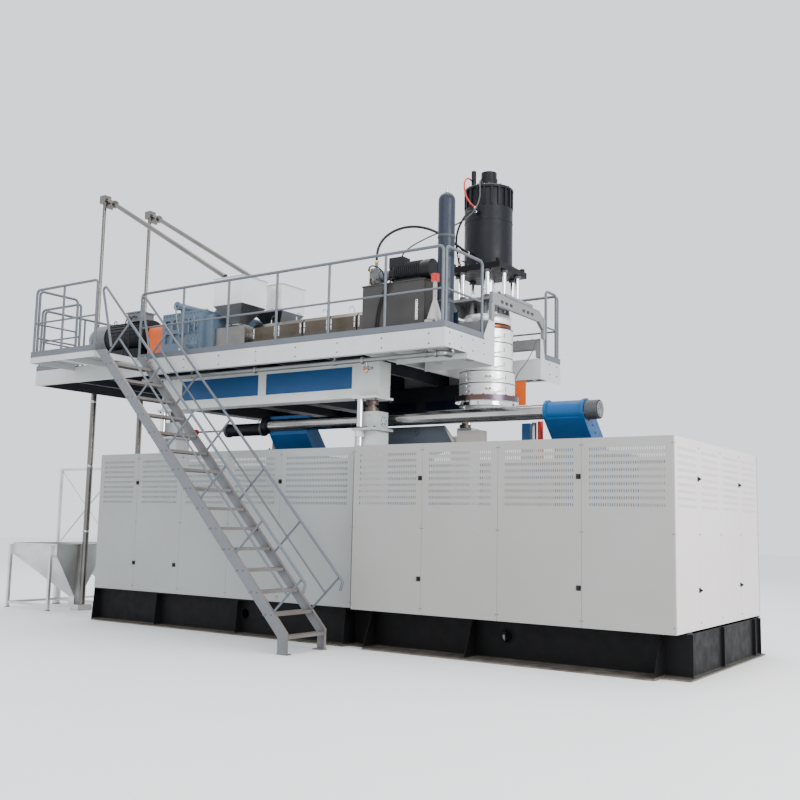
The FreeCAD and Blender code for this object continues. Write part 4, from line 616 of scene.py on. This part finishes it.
def escutcheons():
    """Square black plates round the latch shafts."""
    ring = collar(0.014, 0.043, 0.003, 0.038, 0.006)
    number = 0
    for door in (1, 3):
        for z in LATCH_Z:
            number += 1
            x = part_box("front_latch_%d" % number)
            mid = (x[0][0] + x[1][0]) / 2
            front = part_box("front_door_%d" % door)[0][1]
            piece = Piece("front_latch_%d_plate" % number, "front_door_%d" % door, "latch")
            piece.lathe((mid, front, z), FRONT, ring, 4, turn=SQUARE)
            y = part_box("end_latch_%d" % number)
            mid = (y[0][1] + y[1][1]) / 2
            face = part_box("end_door_%d" % door)[1][0]
            piece = Piece("end_latch_%d_plate" % number, "end_door_%d" % door, "latch")
            piece.lathe((face, mid, z), RIGHT, ring, 4, turn=SQUARE)


def base_fittings():
    piece = Piece("anchor_nuts", "base", "plate_dark")
    piece.bolt_grid((-4.6, 4.6), (-1.35, 1.35), 0.02, 0.026, 0.028)
    piece = Piece("web_hole_rims", "base", "base_black")
    rim = collar(0.072, 0.098, 0.004, 0.094, 0.008)
    for x, y in ((2.647, -1.4), (-1.646, -1.543)):
        piece.lathe((x, y, 0.305), FRONT, rim, 40)


# ---- jacks and beams
JACK_FLANGE_TOP = 2.992
BEAM_PLATE_LOW = 3.408
COLUMN_X = (-3.575, 0.405)
COLUMN_Y = (-1.305, 1.305)


def jack_fittings():
    """Bolts of the jack flanges and gearbox covers, with grease fittings."""
    lower = Piece("jack_bolts", "base", "plate_dark", "brass")
    upper = Piece("beam_plate_bolts", "platform", "plate_dark")
    for x in COLUMN_X:
        for y in COLUMN_Y:
            side = -1 if y < 0 else 1
            for dx in (-0.12, 0.05, 0.22):
                lower.hexagon((x + dx, y - side * 0.15, JACK_FLANGE_TOP), UP, 0.017, 0.018)
            for dx in (0.08, 0.22):
                lower.hexagon((x + dx, y + side * 0.24, JACK_FLANGE_TOP), UP, 0.017, 0.018)
            for dy, dz, _ in around(6, 0.055, (y, 3.11)):
                lower.screw((x + 0.206, dy, dz), RIGHT, 0.008, 0.008)
            front = (x + 0.06, y + side * 0.13, 3.18)
            lower.lathe(front, (0, side, 0), [(0.006, 0), (0.008, 0.004), (0.008, 0.012),
                                              (0.003, 0.018), (0, 0.02)], 12, 1)
            for dx in (-0.13, 0.22):
                for dy in (-0.13, 0.22):
                    place = (x + dx, y + side * dy, BEAM_PLATE_LOW)
                    upper.hexagon(place, DOWN, 0.017, 0.018)


def guide_wipers():
    """Dark wiper rings where the guide rods leave their bushes."""
    lower = Piece("guide_wipers", "base", "screw_dark")
    for x in COLUMN_X:
        for y in COLUMN_Y:
            side = -1 if y < 0 else 1
            ring = [(0.0465, 0), (0.066, 0), (0.066, 0.01), (0.058, 0.022), (0.0465, 0.024),
                    (0.0465, 0)]
            lower.lathe((x - 0.06, y + side * 0.205, JACK_FLANGE_TOP), UP, ring, 32)


def rail_feet():
    """Round foot flanges under the hand-rail posts."""
    piece = Piece("rail_feet", "platform", "rail_grey")
    foot = collar(0.0215, 0.045, 0.005, 0.042, 0.008)
    step = 0.965
    left, right, front, back = -6.331, 2.007, -1.986, 1.396
    deck, landing = 4.207, 4.23
    places = [(-3.755 + step * i, front) for i in range(6)] + [(1.985, front)]
    places += [(left + 1.04 * i, back) for i in range(8)] + [(right, back)]
    places += [(left, front), (-5.285, front), (right, -1.946), (right, -1.005)]
    places += [(right, 0.98), (right, 1.336), (left, -1.926), (left, 1.336)]
    places += [(left, -1.926 + 0.85 * i) for i in (1, 2, 3)]
    for x, y in places:
        piece.lathe((x, y, deck), UP, foot, 20)
    for x, y in ((-5.295, -2.853), (-3.785, -2.853), (-4.595, -2.853), (-5.295, -2.793),
                 (-5.295, -2.05)):
        piece.lathe((x, y, landing), UP, foot, 20)


def landing_posts():
    """Rust-brown angle pieces at the landing's corners."""
    piece = Piece("landing_corners", "platform", "rusty")
    for x in (-5.323, -3.783):
        piece.block((x, -2.8765, 4.135), (x + 0.026, -2.8705, 4.31), 0.0015)
        piece.block((x + 0.0005, -2.87, 4.135), (x + 0.0065, -2.845, 4.31), 0.0015)


def stair_bolts():
    piece = Piece("stair_bolts", "platform", "plate_dark")
    riser, slope = 0.27, -1.04027
    for i in range(1, 15):
        z = 0.232 + riser * i - 0.02
        x = 0.297 + (z - 0.273) / slope - 0.014
        for dx in (-0.05, -0.145):
            for y, side in ((-2.883, -1), (-2.07, 1)):
                piece.screw((x + dx, y, z), (0, side, 0), 0.008, 0.007)


def fascia_bolts():
    """Bolt heads along the platform's edge channel and on its end plates."""
    piece = Piece("fascia_bolts", "platform", "plate_dark", "fascia")
    for i in range(8):
        x = -3.45 + 0.75 * i
        for z in (4.0, 4.13):
            piece.screw((x, -2.02, z), FRONT, 0.009, 0.008)
    for y in (-1.9, -1.6, -1.3, -1.0, 1.05, 1.3):
        for z in (3.99, 4.14):
            piece.screw((2.041, y, z), RIGHT, 0.009, 0.008)
    for x in (-3.0, -1.2, 0.6):
        piece.block((x, -2.026, 3.95), (x + 0.006, -2.0205, 4.19), 0.001, 1)


def pipe_fittings():
    """Hexagon unions, the drain valve and its lever on the water main."""
    y, z = -1.925, 3.872
    piece = Piece("pipe_unions", "platform", "galvanised", "brass", "red")
    union = [(0.033, 0), (0.05, 0.003), (0.05, 0.032), (0.044, 0.036), (0.033, 0.038),
             (0.033, 0)]
    for x in (1.84, 0.66, -1.3, -3.1):
        piece.lathe((x, y, z), RIGHT, union, 8)
    valve = [(0.03, 0), (0.034, 0.006), (0.02, 0.02), (0.016, 0.045), (0, 0.045)]
    piece.lathe((0.74, y, 3.737), DOWN, valve, 16, 1)
    piece.block((0.72, y - 0.075, 3.742), (0.76, y - 0.03, 3.748), 0.001, 2)


# ---- extruders
LINES = ((0.0, -1.08), (0.18, -0.32))
MOTOR_Z = 4.825
BARREL_Z = 4.6


def motor_details(number, dx, y):
    piece = Piece("motor_%d_fittings" % number, "platform", "motor_grey", "plate_dark", "rubber")
    back = -5.915 + dx
    for radius in (0.05, 0.09, 0.13, 0.17, 0.205):
        ring = [(radius - 0.005, -0.001), (radius + 0.005, -0.001), (radius + 0.005, 0.006),
                (radius - 0.005, 0.006), (radius - 0.005, -0.001)]
        piece.lathe((back, y, MOTOR_Z), LEFT, ring, 40)
    for _, _, a in around(8, 1):
        out = Vector((0, math.cos(a), math.sin(a)))
        start = Vector((back - 0.004, y, MOTOR_Z))
        piece.bar(start + out * 0.02, start + out * 0.21, 0.004, 1, 8, 0.001)
    for _, _, a in around(8, 1, start=0.39):
        out = Vector((0, math.cos(a), math.sin(a)))
        piece.screw(Vector((-5.5 + dx, y, MOTOR_Z)) + out * 0.272, out, 0.009, 0.008, 1)
    box_x = (-4.985 + dx, -4.655 + dx)
    piece.bolt_grid(box_x, (y - 0.14, y + 0.14), 5.25, 0.008, 0.008, 1, False)
    for shift in (-0.06, 0.06):
        gland = (-4.82 + dx + shift, y - 0.15, 5.15)
        piece.lathe(gland, FRONT, [(0.02, 0), (0.02, 0.02), (0.014, 0.035), (0, 0.036)], 12, 1)
        route = [gland, (gland[0], y - 0.21, 5.15), (gland[0] + 0.01, y - 0.28, 5.05),
                 (gland[0] + 0.02, y - 0.31, 4.8), (gland[0] + 0.03, y - 0.32, 4.45),
                 (gland[0] + 0.03, y - 0.325, 4.215)]
        piece.wire(route, 0.011, 2)
    piece.bolt_grid((-5.4 + dx, -4.6 + dx), (y - 0.26, y + 0.26), 4.367, 0.016, 0.016, 1)


def gearbox_details(number, dx, y):
    piece = Piece("gearbox_%d_fittings" % number, "platform", "gearbox", "plate_dark", "brass",
                  "chrome", "galvanised")
    face = y - 0.3
    cap = [(0, 0), (0.125, 0), (0.125, 0.012), (0.115, 0.018), (0.05, 0.018), (0.045, 0.03),
           (0, 0.03)]
    for cx, cz in ((-3.2, 4.86), (-3.2, 4.5)):
        piece.lathe((cx + dx, face, cz), FRONT, cap, 32)
        for px, pz, _ in around(8, 0.105, (cx + dx, cz)):
            piece.screw((px, face - 0.018, pz), FRONT, 0.008, 0.008, 1)
    for i in range(6):
        for z, low in ((5.04, -3.40), (4.31, -3.40), (5.03, -3.89), (4.31, -3.89)):
            piece.screw((low + dx + 0.075 * i, face, z), FRONT, 0.009, 0.009, 1)
    piece.lathe((-3.47 + dx, face - 0.001, 4.45), FRONT, [
        (0, 0), (0.03, 0), (0.03, 0.012), (0.02, 0.014), (0, 0.012)], 20, 3)
    piece.lathe((-3.1 + dx, y - 0.1, 5.08), UP, [
        (0.022, 0), (0.022, 0.02), (0.03, 0.024), (0.03, 0.05), (0.012, 0.06), (0, 0.06)], 12, 2)
    lift = [(-3.68 + dx, y, 5.067), (-3.68 + dx, y, 5.1), (-3.65 + dx, y, 5.125),
            (-3.62 + dx, y, 5.1), (-3.62 + dx, y, 5.067)]
    piece.wire(lift, 0.008, 1)
    piece.wire([(-3.54 + dx, y - 0.36, 5.175), (-3.54 + dx, y - 0.4, 5.17),
                (-3.5 + dx, y - 0.41, 5.1), (-3.47 + dx, y - 0.4, 4.9),
                (-3.45 + dx, y - 0.36, 4.7), (-3.45 + dx, y - 0.31, 4.66)], 0.013, 4)


def hopper_details(number, dx, y):
    """Folded rim of the hopper and the slide gate under it."""
    piece = Piece("hopper_%d_fittings" % number, "platform", "stainless", "plate_dark")
    x0, x1, y0, y1, top = -2.775 + dx, -2.145 + dx, y - 0.28, y + 0.28, 5.555
    lip = 0.014
    for a, b in ((y0 - lip, y0 - 0.0005), (y1 + 0.0005, y1 + lip)):
        piece.block((x0 - lip, a, top - 0.016), (x1 + lip, b, top - 0.001), 0.003)
    for a, b in ((x0 - lip, x0 - 0.0005), (x1 + 0.0005, x1 + lip)):
        piece.block((a, y0, top - 0.016), (b, y1, top - 0.001), 0.003)
    cx = (x0 + x1) / 2
    piece.block((cx - 0.13, y - 0.17, 4.78), (cx + 0.13, y - 0.122, 4.79), 0.001)
    piece.bar((cx, y - 0.17, 4.785), (cx, y - 0.24, 4.785), 0.01, 1)
    g = 0.105                     # half the gate's screw spacing
    piece.bolt_grid((cx - g, cx + g), (y - g, y + g), 4.815, 0.008, 0.008, 1, False)


def barrel_details(number, dx, y):
    """Clips, sensors and their thin leads on the heated barrel covers."""
    piece = Piece("barrel_%d_fittings" % number, "platform", "plate_dark", "chrome", "cable",
                  "copper")
    zone = 0.515
    for i in range(5):
        x = -2.01 + dx + zone * i
        for shift in (0.03, 0.465):
            clip = x + shift
            piece.block((clip - 0.012, y - 0.161, 4.52), (clip + 0.012, y - 0.1555, 4.68), 0.001, 1)
            piece.screw((clip, y - 0.161, BARREL_Z), FRONT, 0.007, 0.006)
        piece.lathe((x + 0.25, y, 4.75), UP, stub(0.012, 0.03, 0.006, 0.04, 0.075), 12, 1)
        piece.wire([(x + 0.25, y, 4.82), (x + 0.25, y + 0.02, 4.88), (x + 0.24, y + 0.09, 4.9),
                    (x + 0.22, y + 0.17, 4.82), (x + 0.22, y + 0.2, 4.6),
                    (x + 0.22, y + 0.21, 4.215)], 0.004, 2, 6)
    for py, pz, _ in around(12, 0.142, (y, BARREL_Z)):
        piece.screw((0.888, py, pz), LEFT, 0.012, 0.012)


# ---- accumulator head
BANDS = ((3.536, 3.705, 0.408), (3.713, 3.879, 0.408), (3.889, 4.084, 0.374),
         (4.092, 4.304, 0.374), (4.312, 4.510, 0.374))
HEAD_X = 1.535
SPLIT_ANGLE = math.radians(258)
LOWER_PLATE_TOP = 4.951
YOKE_TOP = 4.5


def head_rings():
    """Seam beads, clamp screws, terminals and leads of the band heaters."""
    piece = Piece("band_fittings", "platform", "plate_dark", "chrome", "brass", "white_plastic",
                  "heater", "seam")
    for low, high, radius in BANDS:
        for z in (low + 0.004, high - 0.010):
            bead = [(radius - 0.001, 0), (radius + 0.003, 0.001), (radius + 0.003, 0.005),
                    (radius - 0.001, 0.006), (radius - 0.001, 0)]
            piece.lathe((HEAD_X, 0, z), UP, bead, 96, 4)
        gap = hoop(radius - 0.03, radius + 0.0015, 0.011)
        piece.lathe((HEAD_X, 0, high - 0.001), UP, gap, 96, 5)
        for z in (low + 0.045, high - 0.045):
            ends = []
            for shift in (-0.07, 0.07):
                a = SPLIT_ANGLE + shift
                p = Vector((HEAD_X + (radius + 0.011) * math.cos(a),
                            (radius + 0.011) * math.sin(a), z))
                ends.append(p)
                piece.bar(p - Vector((0, 0, 0.02)), p + Vector((0, 0, 0.02)), 0.010, 1, 12)
            piece.bar(ends[0], ends[1], 0.004, 0, 8, 0.001)
            across = ends[1] - ends[0]
            piece.screw(ends[1] + across.normalized() * 0.01, across, 0.008, 0.008)
        mid = (low + high) / 2
        leads = []
        for angle in (-62, -55):
            a = math.radians(angle)
            out = Vector((math.cos(a), math.sin(a), 0))
            tip = Vector((HEAD_X, 0, mid)) + out * (radius + 0.026)
            piece.hexagon(tip, out, 0.012, 0.012, 2)
            leads.append((tip + out * 0.012, out))
        for tip, out in leads:
            route = [tip, tip + out * 0.03 + Vector((0.01, 0, -0.01)),
                     tip + out * 0.04 + Vector((0.04, 0.02, -0.05)),
                     tip + out * 0.02 + Vector((0.09, 0.07, -0.06)),
                     tip + Vector((0.13, 0.17, -0.02))]
            piece.wire(route, 0.0045, 3, 6)
        for angle in (-20, 30, 150, 205):
            a = math.radians(angle)
            out = Vector((math.cos(a), math.sin(a), 0))
            start = Vector((HEAD_X, 0, mid)) + out * (radius - 0.001)
            piece.bar(start - Vector((0, 0, 0.03)), start + Vector((0, 0, 0.03)), 0.006, 0, 8)


def head_collar():
    """Copper band and its bright upper neighbour, wrapped round the top of the shell."""
    piece = Piece("head_collar", "platform", "copper", "heater", "seam")
    for slot, low, high, radius in ((2, 4.511, 4.519, 0.343), (0, 4.519, 4.585, 0.349),
                                    (2, 4.585, 4.592, 0.343), (1, 4.592, 4.722, 0.351)):
        edge = 0.002
        piece.lathe((HEAD_X, 0, low), UP, [
            (0.341, 0), (radius - edge, 0), (radius, edge), (radius, high - low - edge),
            (radius - edge, high - low), (0.341, high - low), (0.341, 0)], 96, slot)


def head_flanges():
    """Bolt rings of the die and the shell, with the centring screws."""
    piece = Piece("head_bolts", "platform", "plate_dark", "chrome")

    def bolt_ring(count, ring, z, radius, height, turn=0.0):
        for x, y, _ in around(count, ring, (HEAD_X, 0), turn):
            piece.hexagon((x, y, z), UP, radius, height)

    bolt_ring(16, 0.438, 3.53, 0.014, 0.014)
    for x, y, a in around(8, 0.40, (HEAD_X, 0), 0.2):
        piece.hexagon((x, y, 3.42), (math.cos(a), math.sin(a), 0), 0.016, 0.02, 1)
    bolt_ring(12, 0.235, 4.73, 0.015, 0.018, 0.13)
    bolt_ring(12, 0.335, 6.677, 0.013, 0.016)
    bolt_ring(16, 0.405, 5.449, 0.013, 0.016, 0.1)
    bolt_ring(4, 0.5869, LOWER_PLATE_TOP, 0.03, 0.034, SQUARE)
    piece.bolt_grid((HEAD_X - 0.4, HEAD_X + 0.4), (-0.2, 0, 0.2), LOWER_PLATE_TOP, 0.016, 0.018)


def rod_nuts():
    """Hexagon nuts and washers on the head's chrome rods."""
    piece = Piece("rod_nuts", "platform", "plate_dark")
    for _, _, a in around(4, 1, start=SQUARE):
        for d in (-0.125, 0.125):
            x = HEAD_X + 0.415 * math.cos(a) - d * math.sin(a)
            y = 0.415 * math.sin(a) + d * math.cos(a)
            for z, height in ((LOWER_PLATE_TOP, 0.035), (5.32, 0.04)):
                profile = collar(0.0315, 0.052, height - 0.006, 0.046, height)
                piece.lathe((x, y, z), UP, profile, 6)


def cylinder_fittings():
    """Hexagon unions at the hose ends and a short pipe on the push cylinder."""
    piece = Piece("cylinder_fittings", "platform", "brass", "chrome", "rubber", "red")

    def union(at, axis, hose, slot):
        r = hose / 2 + 0.0005
        piece.lathe(at, axis, collar(r, r * 1.6, 0.024, r * 1.3, 0.032), 6, slot)

    union((1.558, -0.412, 6.233), FRONT, 0.03, 1)
    union((1.45, -0.431, 5.62), FRONT, 0.036, 1)
    union((1.185, -0.25, 5.512), UP, 0.03, 0)
    union((0.6, -1.55, 5.331), UP, 0.036, 0)
    union((1.382, -0.264, 6.8), FRONT, 0.025, 1)
    union((1.558, -0.418, 6.285), (-0.04, -0.03, 0.045), 0.025, 1)
    union((1.574, -0.187, 6.715), FRONT, 0.022, 1)
    union((0.985, -1.48, 5.331), UP, 0.022, 1)
    piece.wire([(1.35, -0.345, 5.52), (1.33, -0.42, 5.53), (1.3, -0.46, 5.6),
                (1.31, -0.43, 5.68), (1.34, -0.345, 5.7)], 0.012, 1)


def yoke_details():
    piece = Piece("yoke_fittings", "platform", "plate_dark", "cable", "copper")
    piece.bolt_grid((1.15, 2.035), (-0.76, 0.81), YOKE_TOP, 0.014, 0.016)
    piece.bolt_grid((1.3, 1.6, 1.85), (-0.78, 0.83), YOKE_TOP, 0.016, 0.018)
    piece.wire([(2.0, 0.76, YOKE_TOP), (1.99, 0.7, 4.46), (1.98, 0.6, 4.3), (1.95, 0.45, 4.1),
                (1.9, 0.27, 3.9), (1.87, 0.2, 3.7), (1.9, 0.24, 3.56)], 0.007, 1)


# ---- hydraulics
def tank_details():
    piece = Piece("tank_fittings", "platform", "plate_dark", "rubber", "chrome", "brass")
    for i in range(7):
        piece.screw((0.6 + 0.155 * i, -1.79, 4.94), UP, 0.008, 0.008)
    for x, bend in ((1.0, 0.04), (1.06, 0.07)):
        piece.wire([(x, -1.7, 5.0), (x - 0.02, -1.8, 4.99), (x - 0.04, -1.83, 4.9),
                    (x - 0.12 - bend, -1.825, 4.6), (x - 0.17 - bend, -1.82, 4.3),
                    (x - 0.18 - bend, -1.83, 4.22)], 0.011, 1)
    piece.block((1.44, -1.812, 4.38), (1.48, -1.8, 4.66), 0.003, 2)
    for z in (4.4, 4.64):
        piece.screw((1.46, -1.812, z), FRONT, 0.008, 0.008)
    cap = [(0, 0), (0.04, 0), (0.04, 0.03), (0.05, 0.034), (0.05, 0.07), (0.04, 0.08), (0, 0.08)]
    piece.lathe((0.72, -1.68, 4.94), UP, cap)


def pump_details():
    """Motor ribs, terminal-box screws and the valve stack of the pump."""
    piece = Piece("pump_fittings", "platform", "motor_black", "plate_dark", "brass", "chrome",
                  "rubber")
    y, z = -1.55, 5.12
    for i in range(13):
        x = 1.0 + 0.032 * i
        rib = [(0.137, 0), (0.15, 0.001), (0.15, 0.007), (0.137, 0.008), (0.137, 0)]
        piece.lathe((x, y, z), RIGHT, rib, 40)
    piece.bolt_grid((0.92, 1.11), (-1.655, -1.505), 5.33, 0.007, 0.007, 1, False)
    valve = [(0, 0), (0.02, 0), (0.02, 0.03), (0.012, 0.036), (0.012, 0.055), (0, 0.056)]
    for i in range(4):
        piece.lathe((0.55, y - 0.06 + 0.04 * i, 5.0 + 0.05 * i), LEFT, valve, 12, 3)
    for px, pz in ((0.58, 5.19), (0.62, 5.05), (0.6, 4.98)):
        piece.lathe((px, y - 0.09, pz), FRONT, stub(0.02, 0.03, 0.013, 0.035, 0.05), 6, 2)
    piece.wire([(0.62, y - 0.1, 5.05), (0.62, y - 0.17, 5.05), (0.66, y - 0.19, 4.98),
                (0.72, y - 0.17, 4.945)], 0.012, 4)
    piece.wire([(0.58, y - 0.1, 5.19), (0.58, y - 0.16, 5.19), (0.64, y - 0.18, 5.24),
                (0.76, y - 0.17, 5.2), (0.82, y - 0.13, 5.1), (0.82, y - 0.11, 4.945)], 0.010, 4)


def accumulator_details():
    piece = Piece("accumulator_fittings", "platform", "plate_dark", "chrome")
    ax, ay = 1.785, -1.6
    valve = [(0, 0), (0.028, 0), (0.028, 0.02), (0.016, 0.026), (0.016, 0.05), (0.02, 0.052),
             (0.02, 0.07), (0, 0.07)]
    piece.lathe((ax, ay, 6.138), UP, valve, 16, 1)
    for z in (4.6, 5.5):
        piece.lathe((ax, ay, z), UP, hoop(0.1141, 0.119, 0.04), 48)
        piece.bar((ax + 0.03, ay - 0.125, z + 0.02), (ax - 0.03, ay - 0.125, z + 0.02), 0.008)


# ---- clamp
TIE_AT = (-0.98, 3.16)
LOWER_TIE_AT = (0.98, 0.9)


def nut_details():
    """Grooved ring and end plate of the upper tie-bar nut, and of the lower one."""
    piece = Piece("nut_rings", "clamp_ring", "plate_dark", "motor_grey")
    start = 3.545
    for y, z in (TIE_AT, LOWER_TIE_AT):
        profile = [(0.1185, 0)]
        for i in range(14):
            profile += [(0.1235, 0.002 + 0.012 * i), (0.1235, 0.008 + 0.012 * i),
                        (0.1195, 0.010 + 0.012 * i)]
        profile += [(0.1185, 0.170), (0.1185, 0)]
        piece.lathe((start, y, z), RIGHT, profile, 64)
        face = start + 0.1705
        plate = [(0, 0), (0.105, 0), (0.105, 0.006), (0.09, 0.008), (0.03, 0.008), (0.028, 0.004),
                 (0, 0.004)]
        piece.lathe((face, y, z), RIGHT, plate, 48, 1)
        for py, pz, _ in around(6, 0.075, (y, z)):
            piece.screw((face + 0.008, py, pz), RIGHT, 0.007, 0.006)


def bracket_bolts():
    # the second material is a painted highlight, a lighter copy of the platen blue; no bolt uses it
    piece = Piece("bracket_bolts", "clamp_ring", "plate_dark", "platen_blue_painted_highlight")
    for py, pz, _ in around(8, 0.128, TIE_AT, 0.4):
        piece.screw((3.54, py, pz), RIGHT, 0.011, 0.012)
    for dy, dz in ((0, 0), (0.09, -0.09), (0.18, -0.18)):
        piece.screw((3.54, -0.8 + dy, 2.98 + dz), RIGHT, 0.011, 0.012)


def lock_details():
    """End rings, hose stubs and bolts of the locking cylinders."""
    piece = Piece("lock_fittings", "clamp_ring", "plate_dark", "chrome")
    for y, z in ((-0.98, 3.11), (0.98, 0.85)):
        for x in (-2.7, -1.95):
            ring = [(0.1005, 0), (0.112, 0.002), (0.112, 0.043), (0.104, 0.045), (0.1005, 0.045),
                    (0.1005, 0)]
            piece.lathe((x, y, z), RIGHT, ring, 40)
        for py, pz, _ in around(8, 0.08, (y, z)):
            piece.screw((-2.7, py, pz), LEFT, 0.009, 0.01)
        for x in (-2.6, -2.05):
            piece.lathe((x, y, z + 0.0995), UP, stub(0.018, 0.03, 0.012, 0.035, 0.05), 6, 1)


# ---- raw-material feed
FEED_X = -6.505
FEED_Y = (-0.64, 0.48)


def feed_details():
    """Clamps and the suction line on the poles, and the fittings of the inlet boxes."""
    piece = Piece("feed_fittings", "platform", "stainless", "plate_dark", "cable")
    for y in FEED_Y:
        for z in (1.4, 2.6, 3.8):
            ring = [(0.0545, 0), (0.060, 0.002), (0.060, 0.038), (0.0545, 0.04), (0.0545, 0)]
            piece.lathe((FEED_X, y, z), UP, ring, 32)
            piece.hexagon((FEED_X, y - 0.06, z + 0.02), FRONT, 0.008, 0.01, 1)
        piece.wire([(FEED_X - 0.05, y, 4.2), (FEED_X - 0.052, y, 5.2), (FEED_X - 0.05, y, 6.3),
                    (FEED_X - 0.052, y, 7.3), (FEED_X - 0.05, y, 7.63)], 0.007, 2, 6)
        for z in (4.6, 5.6, 6.6, 7.4):
            piece.block((FEED_X - 0.06, y - 0.012, z), (FEED_X - 0.0285, y + 0.012, z + 0.012),
                        0.001, 1)
        for py in (-0.06, 0.06):
            for z in (7.66, 7.77):
                piece.screw((FEED_X + 0.075, y + py, z), RIGHT, 0.007, 0.006, 1)


def bin_details():
    """Rim angle and levelling feet of the floor bins."""
    piece = Piece("bin_fittings", "base", "stainless", "plate_dark")
    x0, x1, top = -7.885, -6.6, 1.185
    for y in FEED_Y:
        y0, y1 = y - 0.54, y + 0.46
        for a, b in ((y0 - 0.012, y0 - 0.0005), (y1 + 0.0005, y1 + 0.012)):
            piece.block((x0, a, top - 0.02), (x1, b, top - 0.001), 0.002)
        piece.block((x1 + 0.0005, y0, top - 0.02), (x1 + 0.012, y1, top - 0.001), 0.002)
        for x in (x0 - 0.026, x1 - 0.13):
            for leg_y in (y0 - 0.026, y1 + 0.026):
                piece.lathe((x, leg_y, 0.001), UP, stub(0.045, 0.006, 0.02, 0.012, 0.02), 16, 1)


def make_details():
    for build in (leaf_screws, escutcheons, base_fittings, jack_fittings, guide_wipers,
                  rail_feet, landing_posts, stair_bolts, fascia_bolts, pipe_fittings):
        build()
    for number, (dx, y) in enumerate(LINES, 1):
        for build in (motor_details, gearbox_details, hopper_details, barrel_details):
            build(number, dx, y)
    for build in (head_rings, head_collar, head_flanges, rod_nuts, cylinder_fittings,
                  yoke_details, tank_details, pump_details, accumulator_details, nut_details,
                  bracket_bolts, lock_details, feed_details, bin_details):
        build()
    for piece in PIECES:
        piece.done()


make_materials()
make_camera()
make_cords()
make_studio()
cover_nodes()
make_details()
